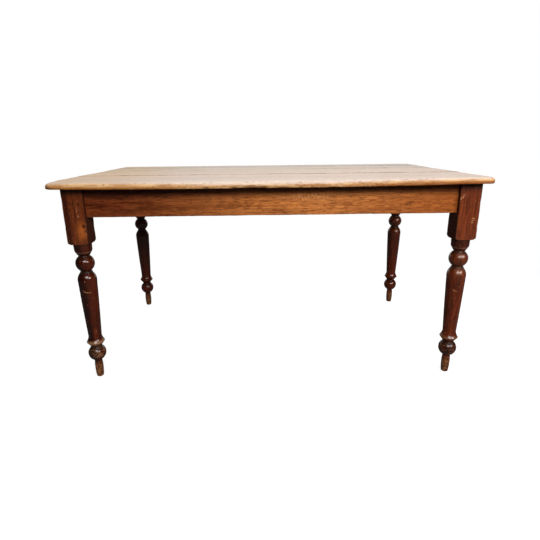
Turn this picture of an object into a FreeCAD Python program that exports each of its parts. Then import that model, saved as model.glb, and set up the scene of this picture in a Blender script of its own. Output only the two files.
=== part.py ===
import FreeCAD, Part
import math
import os

# Farmhouse kitchen table: a plank top on a pegged frame of rails and four turned legs.
# Millimetres. The origin is on the floor under the middle of the top.
# +X runs along the length, -Y is the front and +Z is up.

# Overall size
TABLE_LENGTH = 1513.0
TABLE_HEIGHT = 760.0

# Plank top, its boards listed from the front to the back
BOARD_WIDTHS = (144.0, 136.0, 150.0, 152.0, 160.0, 168.0)
TOP_THICKNESS = 22.0
TOP_CORNER_RADIUS = 28.0
TOP_UPPER_ROUND = 11.0
TOP_LOWER_ROUND = 6.0
BOARD_GAP = 0.4

# Loose tongues in the joints between the boards
TONGUE_THICKNESS = 6.0
TONGUE_DEPTH = 12.0
TONGUE_STOP = 70.0
TONGUE_CLEARANCE = 0.2

# How far the top stands past the leg blocks: it sits a little to the left on its frame
LEFT_OVERHANG = 41.0
RIGHT_OVERHANG = 30.0
SIDE_OVERHANG = 35.0

# Square leg block above the turning
LEG_SQUARE = 74.0
LEG_ARRIS = 2.0
BLOCK_LENGTH = 199.0
POMMEL_FLAT = 7.0
POMMEL_RISE = 7.0

# Turning, from the floor up: the length along the leg and the radius of each member
FOOT_ROUND = 5.0
FOOT_RADIUS = 13.5
PEG_FOOT_LENGTH = 68.5
PEG_FOOT_SWELL_RADIUS = 15.8
PEG_FOOT_TOP_RADIUS = 14.4
PEG_FOOT_COVE_LENGTH = 7.0
PEG_FOOT_COVE_SAG = 1.0
BULB_FOOT_RADIUS = 17.5
BULB_LENGTH = 54.5
BULB_RADIUS = 33.0
LOWER_NECK_LENGTH = 3.0
LOWER_NECK_RADIUS = 19.5
RING_SLOPE_LENGTH = 17.0
RING_RADIUS = 33.0
RING_EDGE_LENGTH = 2.5
RING_COVE_LENGTH = 22.0
RING_COVE_SAG = 1.6
SHAFT_FOOT_RADIUS = 24.3
SHAFT_SWELL = 0.6
SHAFT_TOP_RADIUS = 33.6
SHOULDER_LENGTH = 34.5
SHOULDER_ROUND = 4.0
SHOULDER_TOP_RADIUS = 22.5
SHOULDER_FILLET_LENGTH = 4.0
UPPER_NECK_LENGTH = 4.0
UPPER_NECK_RADIUS = 19.2
BALL_LENGTH = 54.5
BALL_RADIUS = 33.5
TOP_NECK_LENGTH = 2.0
TOP_NECK_RADIUS = 19.8
COLLAR_SLOPE_LENGTH = 16.0
COLLAR_SLOPE_SWELL = 0.4
COLLAR_EDGE_RADIUS = 29.6
COLLAR_ROUND_LENGTH = 6.0
COLLAR_ROUND_SWELL = 0.5
COLLAR_RADIUS = 31.2
COLLAR_LENGTH = 24.0
COLLAR_TOP_RADIUS = 32.2

# Rails
RAIL_DEPTH = 104.0
RAIL_THICKNESS = 22.0
RAIL_SETBACK = 15.0
RAIL_ARRIS = 1.5

# Mortise and tenon joints
TENON_THICKNESS = 8.0
TENON_LOWER_SHOULDER = 10.0
HAUNCH_DEPTH = 24.0
HAUNCH_LENGTH = 10.0
WOOD_BETWEEN_TENONS = 3.0
MORTISE_CLEARANCE = 0.2
MORTISE_END_ROOM = 1.0

# Pegs through the tenons
PEG_RADIUS = 4.0
PEG_BEHIND_TENON = 16.0
PEG_FROM_SHOULDER = 18.0
PEG_SPACING = 33.0
PEG_CLEARANCE = 0.1

# Cross bearer, dovetailed into the front and back rails
BEARER_WIDTH = 72.0
BEARER_DEPTH = 24.0
DOVETAIL_LENGTH = 13.0
DOVETAIL_NECK = 44.0
DOVETAIL_END = 54.0
DOVETAIL_CLEARANCE = 0.15

# Cut nails that hold the boards down
NAIL_LENGTH = 40.0
NAIL_WIDTH = 3.6
NAIL_THICKNESS = 2.6
NAIL_TIP = 1.2
NAIL_HEAD_WIDTH = 6.5
NAIL_HEAD_HEIGHT = 1.6
NAIL_PUNCH = 2.0
NAIL_CLEARANCE = 0.1
NAIL_EDGE_ROOM = 18.0

# Glue blocks in the angle between the rails and the top
GLUE_BLOCK_LENGTH = 80.0
GLUE_BLOCK_LEG = 32.0
GLUE_BLOCK_NOSE = 8.0
LONG_GLUE_BLOCK_COUNT = 4
LONG_GLUE_BLOCK_PITCH = 260.0
SHORT_GLUE_BLOCK_COUNT = 2
SHORT_GLUE_BLOCK_PITCH = 300.0

# Sizes that follow from the ones above
TABLE_WIDTH = sum(BOARD_WIDTHS)
FRAME_TOP = TABLE_HEIGHT - TOP_THICKNESS
RAIL_BOTTOM = FRAME_TOP - RAIL_DEPTH
BLOCK_BOTTOM = FRAME_TOP - BLOCK_LENGTH
HALF_LEG = LEG_SQUARE / 2
FRAME_SHIFT = (LEFT_OVERHANG - RIGHT_OVERHANG) / 2
LEG_X = (TABLE_LENGTH - LEFT_OVERHANG - RIGHT_OVERHANG) / 2 - HALF_LEG
LEG_Y = TABLE_WIDTH / 2 - SIDE_OVERHANG - HALF_LEG
RAIL_OUTER = HALF_LEG - RAIL_SETBACK
RAIL_MIDDLE = RAIL_OUTER - RAIL_THICKNESS / 2
RAIL_INNER = RAIL_OUTER - RAIL_THICKNESS
TENON_INNER = RAIL_MIDDLE - TENON_THICKNESS / 2
TENON_LENGTH = HALF_LEG + TENON_INNER - WOOD_BETWEEN_TENONS
TENON_BOTTOM = RAIL_BOTTOM + TENON_LOWER_SHOULDER
TENON_TOP = FRAME_TOP - HAUNCH_DEPTH
TENON_MIDDLE = (TENON_BOTTOM + TENON_TOP) / 2
PEG_HEIGHTS = (TENON_MIDDLE - PEG_SPACING / 2, TENON_MIDDLE + PEG_SPACING / 2)
PEG_LENGTH = HALF_LEG - TENON_INNER + PEG_BEHIND_TENON
LONG_RAIL_HALF = LEG_X - HALF_LEG
SHORT_RAIL_HALF = LEG_Y - HALF_LEG
BEARER_HALF = LEG_Y + RAIL_INNER
NAIL_HEAD_TOP = TABLE_HEIGHT - NAIL_PUNCH
BOARD_EDGES = [sum(BOARD_WIDTHS[:count]) - TABLE_WIDTH / 2 for count in range(len(BOARD_WIDTHS) + 1)]

ALONG_X = FreeCAD.Vector(1, 0, 0)
ALONG_Y = FreeCAD.Vector(0, 1, 0)
ALONG_Z = FreeCAD.Vector(0, 0, 1)
ORIGIN = FreeCAD.Vector(0, 0, 0)
DIAGONAL = FreeCAD.Vector(1, -1, 0)
SAME_PLACE = 0.001


def box(low, high):
    """Box between two corners."""
    size = [high[i] - low[i] for i in range(3)]
    return Part.makeBox(*size, FreeCAD.Vector(*low))


def prism(points, push):
    """Solid that a flat outline of straight edges sweeps along a vector."""
    corners = [FreeCAD.Vector(*point) for point in points]
    outline = Part.makePolygon(corners + corners[:1])
    return Part.Face(outline).extrude(FreeCAD.Vector(*push))


def edges_along(edges, direction):
    """The straight edges among these that run along a direction."""
    straight = [edge for edge in edges if isinstance(edge.Curve, Part.Line)]
    return [edge for edge in straight if edge.Curve.Direction.cross(direction).Length < SAME_PLACE]


def edges_at_height(edges, height):
    """The edges among these that lie flat at one height."""
    lowest = [edge for edge in edges if abs(edge.BoundBox.ZMin - height) < SAME_PLACE]
    return [edge for edge in lowest if abs(edge.BoundBox.ZMax - height) < SAME_PLACE]


def mirrored(shape, mirror_x, mirror_y):
    """Copy of a shape on the other side of the table's length, width or both."""
    copy = shape.copy()
    if mirror_x:
        copy = copy.mirror(ORIGIN, ALONG_X)
    if mirror_y:
        copy = copy.mirror(ORIGIN, ALONG_Y)
    return copy


class Turning:
    """Outline of a turned member, drawn upwards from the axis at the floor and then spun."""

    def __init__(self, height):
        self.edges = []
        self.start = FreeCAD.Vector(0, 0, height)
        self.end = self.start

    def line(self, radius, rise=0.0):
        target = FreeCAD.Vector(radius, 0, self.end.z + rise)
        self.edges.append(Part.LineSegment(self.end, target).toShape())
        self.end = target

    def arc_past(self, middle_radius, radius, rise):
        """Arc that is at the middle radius halfway up."""
        middle = FreeCAD.Vector(middle_radius, 0, self.end.z + rise / 2)
        target = FreeCAD.Vector(radius, 0, self.end.z + rise)
        self.edges.append(Part.Arc(self.end, middle, target).toShape())
        self.end = target

    def arc_bulging(self, bulge, radius, rise):
        """Arc whose middle stands a bulge outside its chord, or inside it where the bulge is negative."""
        target = FreeCAD.Vector(radius, 0, self.end.z + rise)
        chord = target - self.end
        outward = FreeCAD.Vector(chord.z, 0, -chord.x).normalize()
        middle = (self.end + target) * 0.5 + outward * bulge
        self.edges.append(Part.Arc(self.end, middle, target).toShape())
        self.end = target

    def solid(self):
        """Solid of the outline spun about the leg's axis, once its top and the axis close it."""
        height = self.end.z - self.start.z
        self.line(0)
        self.line(0, -height)
        face = Part.Face(Part.Wire(self.edges))
        return face.revolve(ORIGIN, ALONG_Z, 360)


def turned_leg():
    """Turned part of a leg, from the floor to inside the foot of its block."""
    fixed_lengths = (
        PEG_FOOT_LENGTH, PEG_FOOT_COVE_LENGTH, BULB_LENGTH, LOWER_NECK_LENGTH, RING_SLOPE_LENGTH,
        RING_EDGE_LENGTH, RING_COVE_LENGTH, SHOULDER_LENGTH, SHOULDER_FILLET_LENGTH, UPPER_NECK_LENGTH,
        BALL_LENGTH, TOP_NECK_LENGTH, COLLAR_SLOPE_LENGTH, COLLAR_ROUND_LENGTH, COLLAR_LENGTH,
    )
    shaft_length = BLOCK_BOTTOM - sum(fixed_lengths)
    corner_bulge = FOOT_ROUND * (1 - math.sqrt(0.5))
    turning = Turning(0)
    turning.line(FOOT_RADIUS - FOOT_ROUND)
    turning.arc_bulging(corner_bulge, FOOT_RADIUS, FOOT_ROUND)
    turning.arc_past(PEG_FOOT_SWELL_RADIUS, PEG_FOOT_TOP_RADIUS, PEG_FOOT_LENGTH - FOOT_ROUND)
    turning.arc_bulging(-PEG_FOOT_COVE_SAG, BULB_FOOT_RADIUS, PEG_FOOT_COVE_LENGTH)
    turning.arc_past(BULB_RADIUS, LOWER_NECK_RADIUS, BULB_LENGTH)
    turning.line(LOWER_NECK_RADIUS, LOWER_NECK_LENGTH)
    turning.line(RING_RADIUS, RING_SLOPE_LENGTH)
    turning.line(RING_RADIUS, RING_EDGE_LENGTH)
    turning.arc_bulging(-RING_COVE_SAG, SHAFT_FOOT_RADIUS, RING_COVE_LENGTH)
    turning.arc_bulging(SHAFT_SWELL, SHAFT_TOP_RADIUS, shaft_length)
    turning.arc_bulging(SHOULDER_ROUND, SHOULDER_TOP_RADIUS, SHOULDER_LENGTH)
    turning.line(SHOULDER_TOP_RADIUS, SHOULDER_FILLET_LENGTH)
    turning.line(UPPER_NECK_RADIUS)
    turning.line(UPPER_NECK_RADIUS, UPPER_NECK_LENGTH)
    turning.arc_past(BALL_RADIUS, TOP_NECK_RADIUS, BALL_LENGTH)
    turning.line(TOP_NECK_RADIUS, TOP_NECK_LENGTH)
    turning.arc_bulging(COLLAR_SLOPE_SWELL, COLLAR_EDGE_RADIUS, COLLAR_SLOPE_LENGTH)
    turning.arc_bulging(COLLAR_ROUND_SWELL, COLLAR_RADIUS, COLLAR_ROUND_LENGTH)
    turning.line(COLLAR_TOP_RADIUS, COLLAR_LENGTH)
    turning.line(COLLAR_TOP_RADIUS, POMMEL_RISE)
    return turning.solid()


def leg_block():
    """Square block with eased arrises, its lower corners rounded where the lathe cut the shoulder."""
    block = box((-HALF_LEG, -HALF_LEG, BLOCK_BOTTOM), (HALF_LEG, HALF_LEG, FRAME_TOP))
    block = block.makeFillet(LEG_ARRIS, edges_along(block.Edges, ALONG_Z))
    corner_radius = HALF_LEG * math.sqrt(2)
    pommel = Turning(BLOCK_BOTTOM)
    pommel.line(HALF_LEG + POMMEL_FLAT)
    pommel.line(corner_radius, POMMEL_RISE)
    pommel.line(corner_radius, BLOCK_LENGTH)
    return block.common(pommel.solid())


def tenon(clearance=0.0, end_room=0.0):
    """Haunched tenon of a long rail at the leg in the +X +Y corner, about the leg's own axis."""
    low_y = TENON_INNER - clearance
    high_y = TENON_INNER + TENON_THICKNESS + clearance
    start = -HALF_LEG
    main = box(
        (start, low_y, TENON_BOTTOM - clearance),
        (start + TENON_LENGTH + end_room, high_y, TENON_TOP + clearance),
    )
    haunch = box((start, low_y, TENON_BOTTOM), (start + HAUNCH_LENGTH + end_room, high_y, FRAME_TOP))
    return main.fuse(haunch).removeSplitter()


def pegs(clearance=0.0):
    """The two pegs through that tenon, driven from the leg's back face, or their holes with a clearance."""
    made = []
    for height in PEG_HEIGHTS:
        start = FreeCAD.Vector(PEG_FROM_SHOULDER - HALF_LEG, HALF_LEG, height)
        made.append(Part.makeCylinder(PEG_RADIUS + clearance, PEG_LENGTH, start, ALONG_Y * -1))
    return Part.makeCompound(made)


def both_ways(shape):
    """A shape that serves the long rail, with the same for the short rail across the leg's diagonal."""
    return Part.makeCompound([shape, shape.mirror(ORIGIN, DIAGONAL)])


def corner_leg():
    """Leg in the +X +Y corner with its mortises and peg holes, about its own axis."""
    leg = leg_block().fuse(turned_leg()).removeSplitter()
    mortises = both_ways(tenon(MORTISE_CLEARANCE, MORTISE_END_ROOM))
    peg_holes = both_ways(pegs(PEG_CLEARANCE))
    return leg.cut(mortises).cut(peg_holes)


def rail(half_length, leg_along):
    """Rail between two legs, lying along X with its outer face towards +Y and the leg axes at Y zero."""
    plank = box((-half_length, RAIL_INNER, RAIL_BOTTOM), (half_length, RAIL_OUTER, FRAME_TOP))
    plank = plank.makeChamfer(RAIL_ARRIS, edges_along(edges_at_height(plank.Edges, RAIL_BOTTOM), ALONG_X))
    right_tenon = tenon()
    right_holes = pegs(PEG_CLEARANCE)
    for piece in (right_tenon, right_holes):
        piece.translate(FreeCAD.Vector(leg_along, 0, 0))
    plank = plank.fuse([right_tenon, mirrored(right_tenon, True, False)]).removeSplitter()
    return plank.cut(right_holes).cut(mirrored(right_holes, True, False))


def dovetail(clearance):
    """Dovetail on the back end of the bearer, or its socket where it has a clearance."""
    neck = DOVETAIL_NECK / 2 + clearance
    end = DOVETAIL_END / 2 + clearance
    shoulder = BEARER_HALF
    tip = BEARER_HALF + DOVETAIL_LENGTH + clearance
    bottom = FRAME_TOP - BEARER_DEPTH - clearance
    outline = [(-neck, shoulder, bottom), (neck, shoulder, bottom), (end, tip, bottom), (-end, tip, bottom)]
    return prism(outline, (0, 0, FRAME_TOP - bottom))


def long_rail():
    """Back rail with the socket for the bearer's dovetail."""
    plank = rail(LONG_RAIL_HALF, LEG_X)
    plank.translate(FreeCAD.Vector(0, LEG_Y, 0))
    return plank.cut(dovetail(DOVETAIL_CLEARANCE))


def short_rail():
    """Right rail, turned to lie along Y."""
    plank = rail(SHORT_RAIL_HALF, LEG_Y)
    plank.rotate(ORIGIN, ALONG_Z, -90)
    plank.translate(FreeCAD.Vector(LEG_X, 0, 0))
    return plank


def bearer():
    """Cross bearer with a dovetail at each end."""
    half_width = BEARER_WIDTH / 2
    bar = box((-half_width, -BEARER_HALF, FRAME_TOP - BEARER_DEPTH), (half_width, BEARER_HALF, FRAME_TOP))
    tail = dovetail(0.0)
    return bar.fuse([tail, mirrored(tail, False, True)]).removeSplitter()


def nail(x, y, head_top=NAIL_HEAD_TOP, clearance=0.0):
    """Cut nail that tapers on two sides."""
    shank_top = NAIL_HEAD_TOP - NAIL_HEAD_HEIGHT
    tip = NAIL_HEAD_TOP - NAIL_LENGTH
    half_width = NAIL_WIDTH / 2 + clearance
    half_thickness = NAIL_THICKNESS / 2 + clearance
    half_tip = NAIL_TIP / 2 + clearance
    half_head = NAIL_HEAD_WIDTH / 2 + clearance
    taper = [
        (x - half_thickness, y - half_width, shank_top),
        (x - half_thickness, y + half_width, shank_top),
        (x - half_thickness, y + half_tip, tip),
        (x - half_thickness, y - half_tip, tip),
    ]
    shank = prism(taper, (2 * half_thickness, 0, 0))
    head = box(
        (x - half_thickness, y - half_head, shank_top - clearance),
        (x + half_thickness, y + half_head, head_top),
    )
    return shank.fuse(head).removeSplitter()


def nail_hole(x, y):
    """Hole of a nail, open at the top where its head was punched under the surface."""
    return nail(x, y, TABLE_HEIGHT, NAIL_CLEARANCE)


def nail_rows():
    """Places of the nails on the frame by row: one in each board over the bearer and over each end rail."""
    end_x = LEG_X + RAIL_MIDDLE
    rows = {
        "left": (-end_x, SHORT_RAIL_HALF),
        "middle": (0.0, BEARER_HALF),
        "right": (end_x, SHORT_RAIL_HALF),
    }
    places = {}
    for name, (x, reach) in rows.items():
        limit = reach - NAIL_EDGE_ROOM
        middles = [(front + back) / 2 for front, back in zip(BOARD_EDGES, BOARD_EDGES[1:])]
        places[name] = [(x, max(-limit, min(limit, y))) for y in middles]
    return places


def top_slab():
    """Whole top with its rounded corners and edge."""
    half = (TABLE_LENGTH / 2, TABLE_WIDTH / 2)
    slab = box((-half[0], -half[1], FRAME_TOP), (half[0], half[1], TABLE_HEIGHT))
    slab = slab.makeFillet(TOP_CORNER_RADIUS, edges_along(slab.Edges, ALONG_Z))
    slab = slab.makeFillet(TOP_UPPER_ROUND, edges_at_height(slab.Edges, TABLE_HEIGHT))
    return slab.makeFillet(TOP_LOWER_ROUND, edges_at_height(slab.Edges, FRAME_TOP))


def tongue(joint_y, clearance=0.0):
    """Loose tongue in a joint between two boards, or its groove where it has a clearance."""
    reach = TABLE_LENGTH / 2 - TONGUE_STOP + clearance
    middle = FRAME_TOP + TOP_THICKNESS / 2
    half_thickness = TONGUE_THICKNESS / 2 + clearance
    half_width = TONGUE_DEPTH + clearance
    return box(
        (-reach, joint_y - half_width, middle - half_thickness),
        (reach, joint_y + half_width, middle + half_thickness),
    )


def boards(nail_places):
    """Boards cut from the top, each with its grooves and nail holes."""
    slab = top_slab()
    joints = BOARD_EDGES[1:-1]
    made = []
    for front, back in zip(BOARD_EDGES, BOARD_EDGES[1:]):
        front_edge = front + BOARD_GAP / 2 if front in joints else front
        back_edge = back - BOARD_GAP / 2 if back in joints else back
        strip = box((-TABLE_LENGTH / 2, front_edge, FRAME_TOP), (TABLE_LENGTH / 2, back_edge, TABLE_HEIGHT))
        board = slab.common(strip)
        grooves = [tongue(y, TONGUE_CLEARANCE) for y in joints if y in (front, back)]
        holes = [nail_hole(x + FRAME_SHIFT, y) for x, y in nail_places if front < y < back]
        made.append(board.cut(grooves + holes))
    return made


def glue_block():
    """Three-cornered block with a blunt nose, its back on a face at Y zero and its top under the boards."""
    half = GLUE_BLOCK_LENGTH / 2
    low = FRAME_TOP - GLUE_BLOCK_LEG
    outline = [
        (-half, 0, FRAME_TOP),
        (-half, 0, low),
        (-half, -GLUE_BLOCK_NOSE, low),
        (-half, -GLUE_BLOCK_LEG, FRAME_TOP - GLUE_BLOCK_NOSE),
        (-half, -GLUE_BLOCK_LEG, FRAME_TOP),
    ]
    return prism(outline, (GLUE_BLOCK_LENGTH, 0, 0))


def glue_block_row(pitch, count):
    """Row of glue blocks along X, spread evenly about the middle."""
    made = []
    for index in range(count):
        block = glue_block()
        block.translate(FreeCAD.Vector((index - (count - 1) / 2) * pitch, 0, 0))
        made.append(block)
    return Part.makeCompound(made)


def export(name, shape):
    shape.exportStep("parts/" + name + ".step")


def export_on_frame(name, shape):
    """Exports a piece that was made about the middle of the frame."""
    placed = shape.copy()
    placed.translate(ALONG_X * FRAME_SHIFT)
    export(name, placed)


def main():
    os.makedirs("parts", exist_ok=True)
    places = nail_rows()
    all_places = [place for row in places.values() for place in row]

    for number, board in enumerate(boards(all_places), 1):
        export("top_board_" + str(number), board)
    for number, joint_y in enumerate(BOARD_EDGES[1:-1], 1):
        export("loose_tongue_" + str(number), tongue(joint_y))

    leg = corner_leg()
    leg_pegs = both_ways(pegs())
    for piece in (leg, leg_pegs):
        piece.translate(FreeCAD.Vector(LEG_X, LEG_Y, 0))
    for side, mirror_x in (("left", True), ("right", False)):
        for end, mirror_y in (("front", True), ("back", False)):
            export_on_frame("leg_" + end + "_" + side, mirrored(leg, mirror_x, mirror_y))
            export_on_frame("pegs_" + end + "_" + side, mirrored(leg_pegs, mirror_x, mirror_y))

    nail_holes = [nail_hole(x, y) for x, y in all_places]
    back_rail = long_rail()
    right_rail = short_rail().cut(nail_holes)
    long_blocks = glue_block_row(LONG_GLUE_BLOCK_PITCH, LONG_GLUE_BLOCK_COUNT)
    long_blocks.translate(FreeCAD.Vector(0, LEG_Y + RAIL_INNER, 0))
    short_blocks = glue_block_row(SHORT_GLUE_BLOCK_PITCH, SHORT_GLUE_BLOCK_COUNT)
    short_blocks.rotate(ORIGIN, ALONG_Z, -90)
    short_blocks.translate(FreeCAD.Vector(LEG_X + RAIL_INNER, 0, 0))
    export_on_frame("rail_back", back_rail)
    export_on_frame("rail_front", mirrored(back_rail, False, True))
    export_on_frame("rail_right", right_rail)
    export_on_frame("rail_left", mirrored(right_rail, True, False))
    export_on_frame("glue_blocks_back", long_blocks)
    export_on_frame("glue_blocks_front", mirrored(long_blocks, False, True))
    export_on_frame("glue_blocks_right", short_blocks)
    export_on_frame("glue_blocks_left", mirrored(short_blocks, True, False))

    export_on_frame("cross_bearer", bearer().cut(nail_holes))
    for row, row_places in places.items():
        export_on_frame("nails_" + row, Part.makeCompound([nail(x, y) for x, y in row_places]))


main()
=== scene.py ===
"""Looks of a farmhouse kitchen table: scrubbed pine boards on a stained and varnished frame.

Metres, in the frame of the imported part: the floor at Z zero, +X along the table, -Y the front.
"""
import math
from typing import NamedTuple

import bmesh
import bpy
import numpy as np
from mathutils import Matrix, Vector, noise


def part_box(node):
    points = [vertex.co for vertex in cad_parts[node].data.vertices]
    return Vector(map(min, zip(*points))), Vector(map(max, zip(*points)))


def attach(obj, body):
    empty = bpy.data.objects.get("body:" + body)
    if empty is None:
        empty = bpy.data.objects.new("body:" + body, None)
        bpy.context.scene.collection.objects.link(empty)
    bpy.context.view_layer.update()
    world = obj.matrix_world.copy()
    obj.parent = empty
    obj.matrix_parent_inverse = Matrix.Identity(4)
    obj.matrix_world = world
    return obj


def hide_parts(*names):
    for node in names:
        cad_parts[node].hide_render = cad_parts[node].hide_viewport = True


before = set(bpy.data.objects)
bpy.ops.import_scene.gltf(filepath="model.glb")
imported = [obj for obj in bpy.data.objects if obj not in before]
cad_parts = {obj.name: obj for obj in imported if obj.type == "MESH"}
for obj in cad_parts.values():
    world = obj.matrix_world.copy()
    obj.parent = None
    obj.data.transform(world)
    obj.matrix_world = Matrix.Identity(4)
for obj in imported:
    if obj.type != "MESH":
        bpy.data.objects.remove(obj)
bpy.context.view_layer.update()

BODY = "root"
BOARD_COUNT = 6
LEG_SIGNS = {
    "front_left": (-1, -1),
    "front_right": (1, -1),
    "back_left": (-1, 1),
    "back_right": (1, 1),
}
LONG_RAILS = ("front", "back")
SHORT_RAILS = ("left", "right")
NAIL_ROWS = ("left", "middle", "right")

# Edges that turn by more than this, in degrees, stay sharp
SHARP_ANGLE = 35
# Softened edge of the pieces that keep their CAD shape
SOFT_EDGE = 0.0006
# Room that a cutter has past the face it enters
CUTTER_ROOM = 0.002
# How far apart in the noise two seeds lie
SEED_STRIDE = 17.31

# Plank top
CORNER_RADIUS = 0.028
CORNER_STEPS = (0.014, 0.021, CORNER_RADIUS)
NOSING_UPPER = 0.011
NOSING_LOWER = 0.0035
JOINT_ARRIS = 0.0009
UNDER_ARRIS_SHARE = 0.5
JOINT_STEPS = (0, 0.0003, 0.0009, 0.002, 0.005)
BOARD_PITCH = 0.0062
WALL_ROWS = 5
TONGUE_CLEARANCE = 0.0002

# Cut nails: half widths along their row, depths and room, and the least gap between two of a row
NAIL_HEAD_HALF = 0.00335
NAIL_SHANK_HALF = 0.0019
NAIL_NECK_HALF = 0.0014
NAIL_TIP_HALF = 0.0008
NAIL_HEAD_DEPTH = 0.0037
NAIL_TIP_ROOM = 0.0005
NAIL_CLEARANCE = 0.0001
NAIL_GAP = 0.03

# Turned legs: the members from the floor up as (rise, radius at the top, radius halfway up an arc)
FOOT_START_RADIUS = 0.0085
TURNING = (
    (0.0050, 0.0135, 0.01283),
    (0.0635, 0.0144, 0.0158),
    (0.0070, 0.0175, 0.01486),
    (0.0545, 0.0195, 0.0330),
    (0.0030, 0.0195, None),
    (0.0170, 0.0330, None),
    (0.0025, 0.0330, None),
    (0.0220, 0.0243, 0.02693),
    (0.2195, 0.0336, 0.02955),
    (0.0345, 0.0225, 0.03223),
    (0.0040, 0.0225, None),
    (0.0000, 0.0192, None),
    (0.0040, 0.0192, None),
    (0.0545, 0.0198, 0.0335),
    (0.0020, 0.0198, None),
    (0.0160, 0.0296, 0.02517),
    (0.0060, 0.0312, 0.03092),
    (0.0240, 0.0322, None),
)
OUTLINE_STEP = 0.0004
EDGE_SOFTNESS = 0.0005
RING_SPACING = 0.0035
RING_TURN = 0.16
HALF_LEG = 0.037
LEG_ARRIS = 0.002
FLAT_POINTS = 17
POMMEL_FLAT = 0.007
POMMEL_RISE = 0.007
BLOCK_EASE = 0.0006
BLOCK_PITCH = 0.005
SHOULDER_SHARES = (0.08, 0.5, 1.0)
POMMEL_RINGS = 5
# Slack where heights are compared, and the least radius that wear is a share of
HEIGHT_SLACK = 0.0001
LEAST_RADIUS = 0.005

# Mortises and pegs, from the shoulder of a rail or the axis of a leg
TENON_LENGTH = 0.041
TENON_INNER = 0.007
TENON_THICKNESS = 0.008
TENON_LOWER_SHOULDER = 0.010
TENON_ROOT = 0.004
HAUNCH_DEPTH = 0.024
HAUNCH_LENGTH = 0.010
HAUNCH_EASE = 0.001
MORTISE_CLEARANCE = 0.0002
MORTISE_END_ROOM = 0.001
PEG_RADIUS = 0.0041
PEG_SIDES = 24
PEG_FROM_SHOULDER = 0.018
PEG_SPACING = 0.033
PEG_DEPTH = 0.046

# Rails
RAIL_THICKNESS = 0.022
RAIL_ARRIS = 0.0015
RAIL_EASE = 0.0004
RAIL_PITCH = 0.0065
RAIL_OUTER_POINTS = 20
RAIL_INNER_POINTS = 12
RAIL_EDGE_POINTS = 5
DOVETAIL_NECK = 0.0443
DOVETAIL_END = 0.0543
DOVETAIL_CLEARANCE = 0.00015

# Sizes read from the frame
TOP_LOW = Vector(map(min, *[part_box("top_board_%d" % (i + 1))[0] for i in range(BOARD_COUNT)]))
TOP_HIGH = Vector(map(max, *[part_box("top_board_%d" % (i + 1))[1] for i in range(BOARD_COUNT)]))
FRAME_TOP = TOP_LOW.z
RAIL_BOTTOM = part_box("rail_front")[0].z
LEGS_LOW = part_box("leg_front_left")[0]
LEGS_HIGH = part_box("leg_back_right")[1]
NAILS_LOW, NAILS_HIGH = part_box("nails_middle")
# Legs and rails stand about this middle, to one side of the middle of the top
FRAME_X = (LEGS_LOW.x + LEGS_HIGH.x) / 2
LEG_X = LEGS_HIGH.x - FRAME_X - HALF_LEG
LEG_Y = LEGS_HIGH.y - HALF_LEG
BLOCK_BOTTOM = sum(member[0] for member in TURNING)
TENON_MIDDLE = (RAIL_BOTTOM + TENON_LOWER_SHOULDER + FRAME_TOP - HAUNCH_DEPTH) / 2
PEG_HEIGHTS = (TENON_MIDDLE - PEG_SPACING / 2, TENON_MIDDLE + PEG_SPACING / 2)
# A nail's hole in a board and in the wood under it: half widths and heights down one side
HOLE_IN_BOARD = (
    (NAIL_HEAD_HALF, TOP_HIGH.z + CUTTER_ROOM),
    (NAIL_HEAD_HALF, TOP_HIGH.z - NAIL_HEAD_DEPTH),
    (NAIL_SHANK_HALF, TOP_HIGH.z - NAIL_HEAD_DEPTH),
    (NAIL_SHANK_HALF, TOP_LOW.z - CUTTER_ROOM),
)
HOLE_IN_FRAME = (
    (NAIL_NECK_HALF, FRAME_TOP + CUTTER_ROOM),
    (NAIL_TIP_HALF, NAILS_LOW.z - NAIL_TIP_ROOM),
)

# Unevenness of the surfaces as (depth, size of the lumps, seed)
BOARD_WAVES = ((0.0005, (0.35, 0.09, 1), 0), (0.0002, (0.05, 0.03, 1), 9))
LEG_WAVES = ((0.0002, (0.05, 0.05, 0.09), 7),)
RAIL_WAVES = ((0.00018, (0.10, 0.05, 0.03), 0),)
# Hollows worn and knocked into them as (depth, size of the lumps, seed, how rare)
EDGE_KNOCKS = ((0.0016, (0.09, 0.09, 0.05), 31, 0.0), (0.0016, (0.018, 0.018, 0.012), 47, 0.25))
LEG_KNOCKS = ((0.0022, (0.02, 0.02, 0.035), 0, 0.05), (0.0016, (0.007, 0.007, 0.012), 3, 0.2))
LEG_DENTS = ((0.0022, (0.011, 0.011, 0.016), 5, 0.42),)
RAIL_KNOCKS = ((0.0010, (0.05, 0.02, 0.02), 2, 0.0), (0.0014, (0.012, 0.01, 0.01), 4, 0.2))
RAIL_DENTS = ((0.0016, (0.02, 0.03, 0.012), 6, 0.42),)
BLOCK_DENT_SHARE = 0.4
EDGE_KNOCK_REACH = 0.012

# Nicks in the front edge of the top as (X, height under the top, radius, depth)
FRONT_NICKS = (
    (-0.366, 0.012, 0.007, 0.0030),
    (-0.105, 0.024, 0.030, 0.0026),
    (-0.062, 0.025, 0.034, 0.0034),
    (-0.030, 0.024, 0.022, 0.0024),
    (-0.230, 0.008, 0.012, 0.0012),
    (-0.190, 0.020, 0.009, 0.0014),
    (0.080, 0.010, 0.014, 0.0016),
    (0.021, 0.018, 0.008, 0.0016),
    (0.205, 0.022, 0.018, 0.0018),
    (0.345, 0.012, 0.010, 0.0014),
    (0.430, 0.021, 0.014, 0.0016),
    (0.570, 0.016, 0.008, 0.0016),
    (-0.520, 0.019, 0.013, 0.0016),
    (-0.610, 0.010, 0.010, 0.0014),
)
NICK_SHAPE = (1.0, 0.6, 0.6)
NICK_LUMPS = (0.006, 0.006, 0.006)
NICK_SEED = 63
NICK_RAGGED = 0.5
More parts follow.
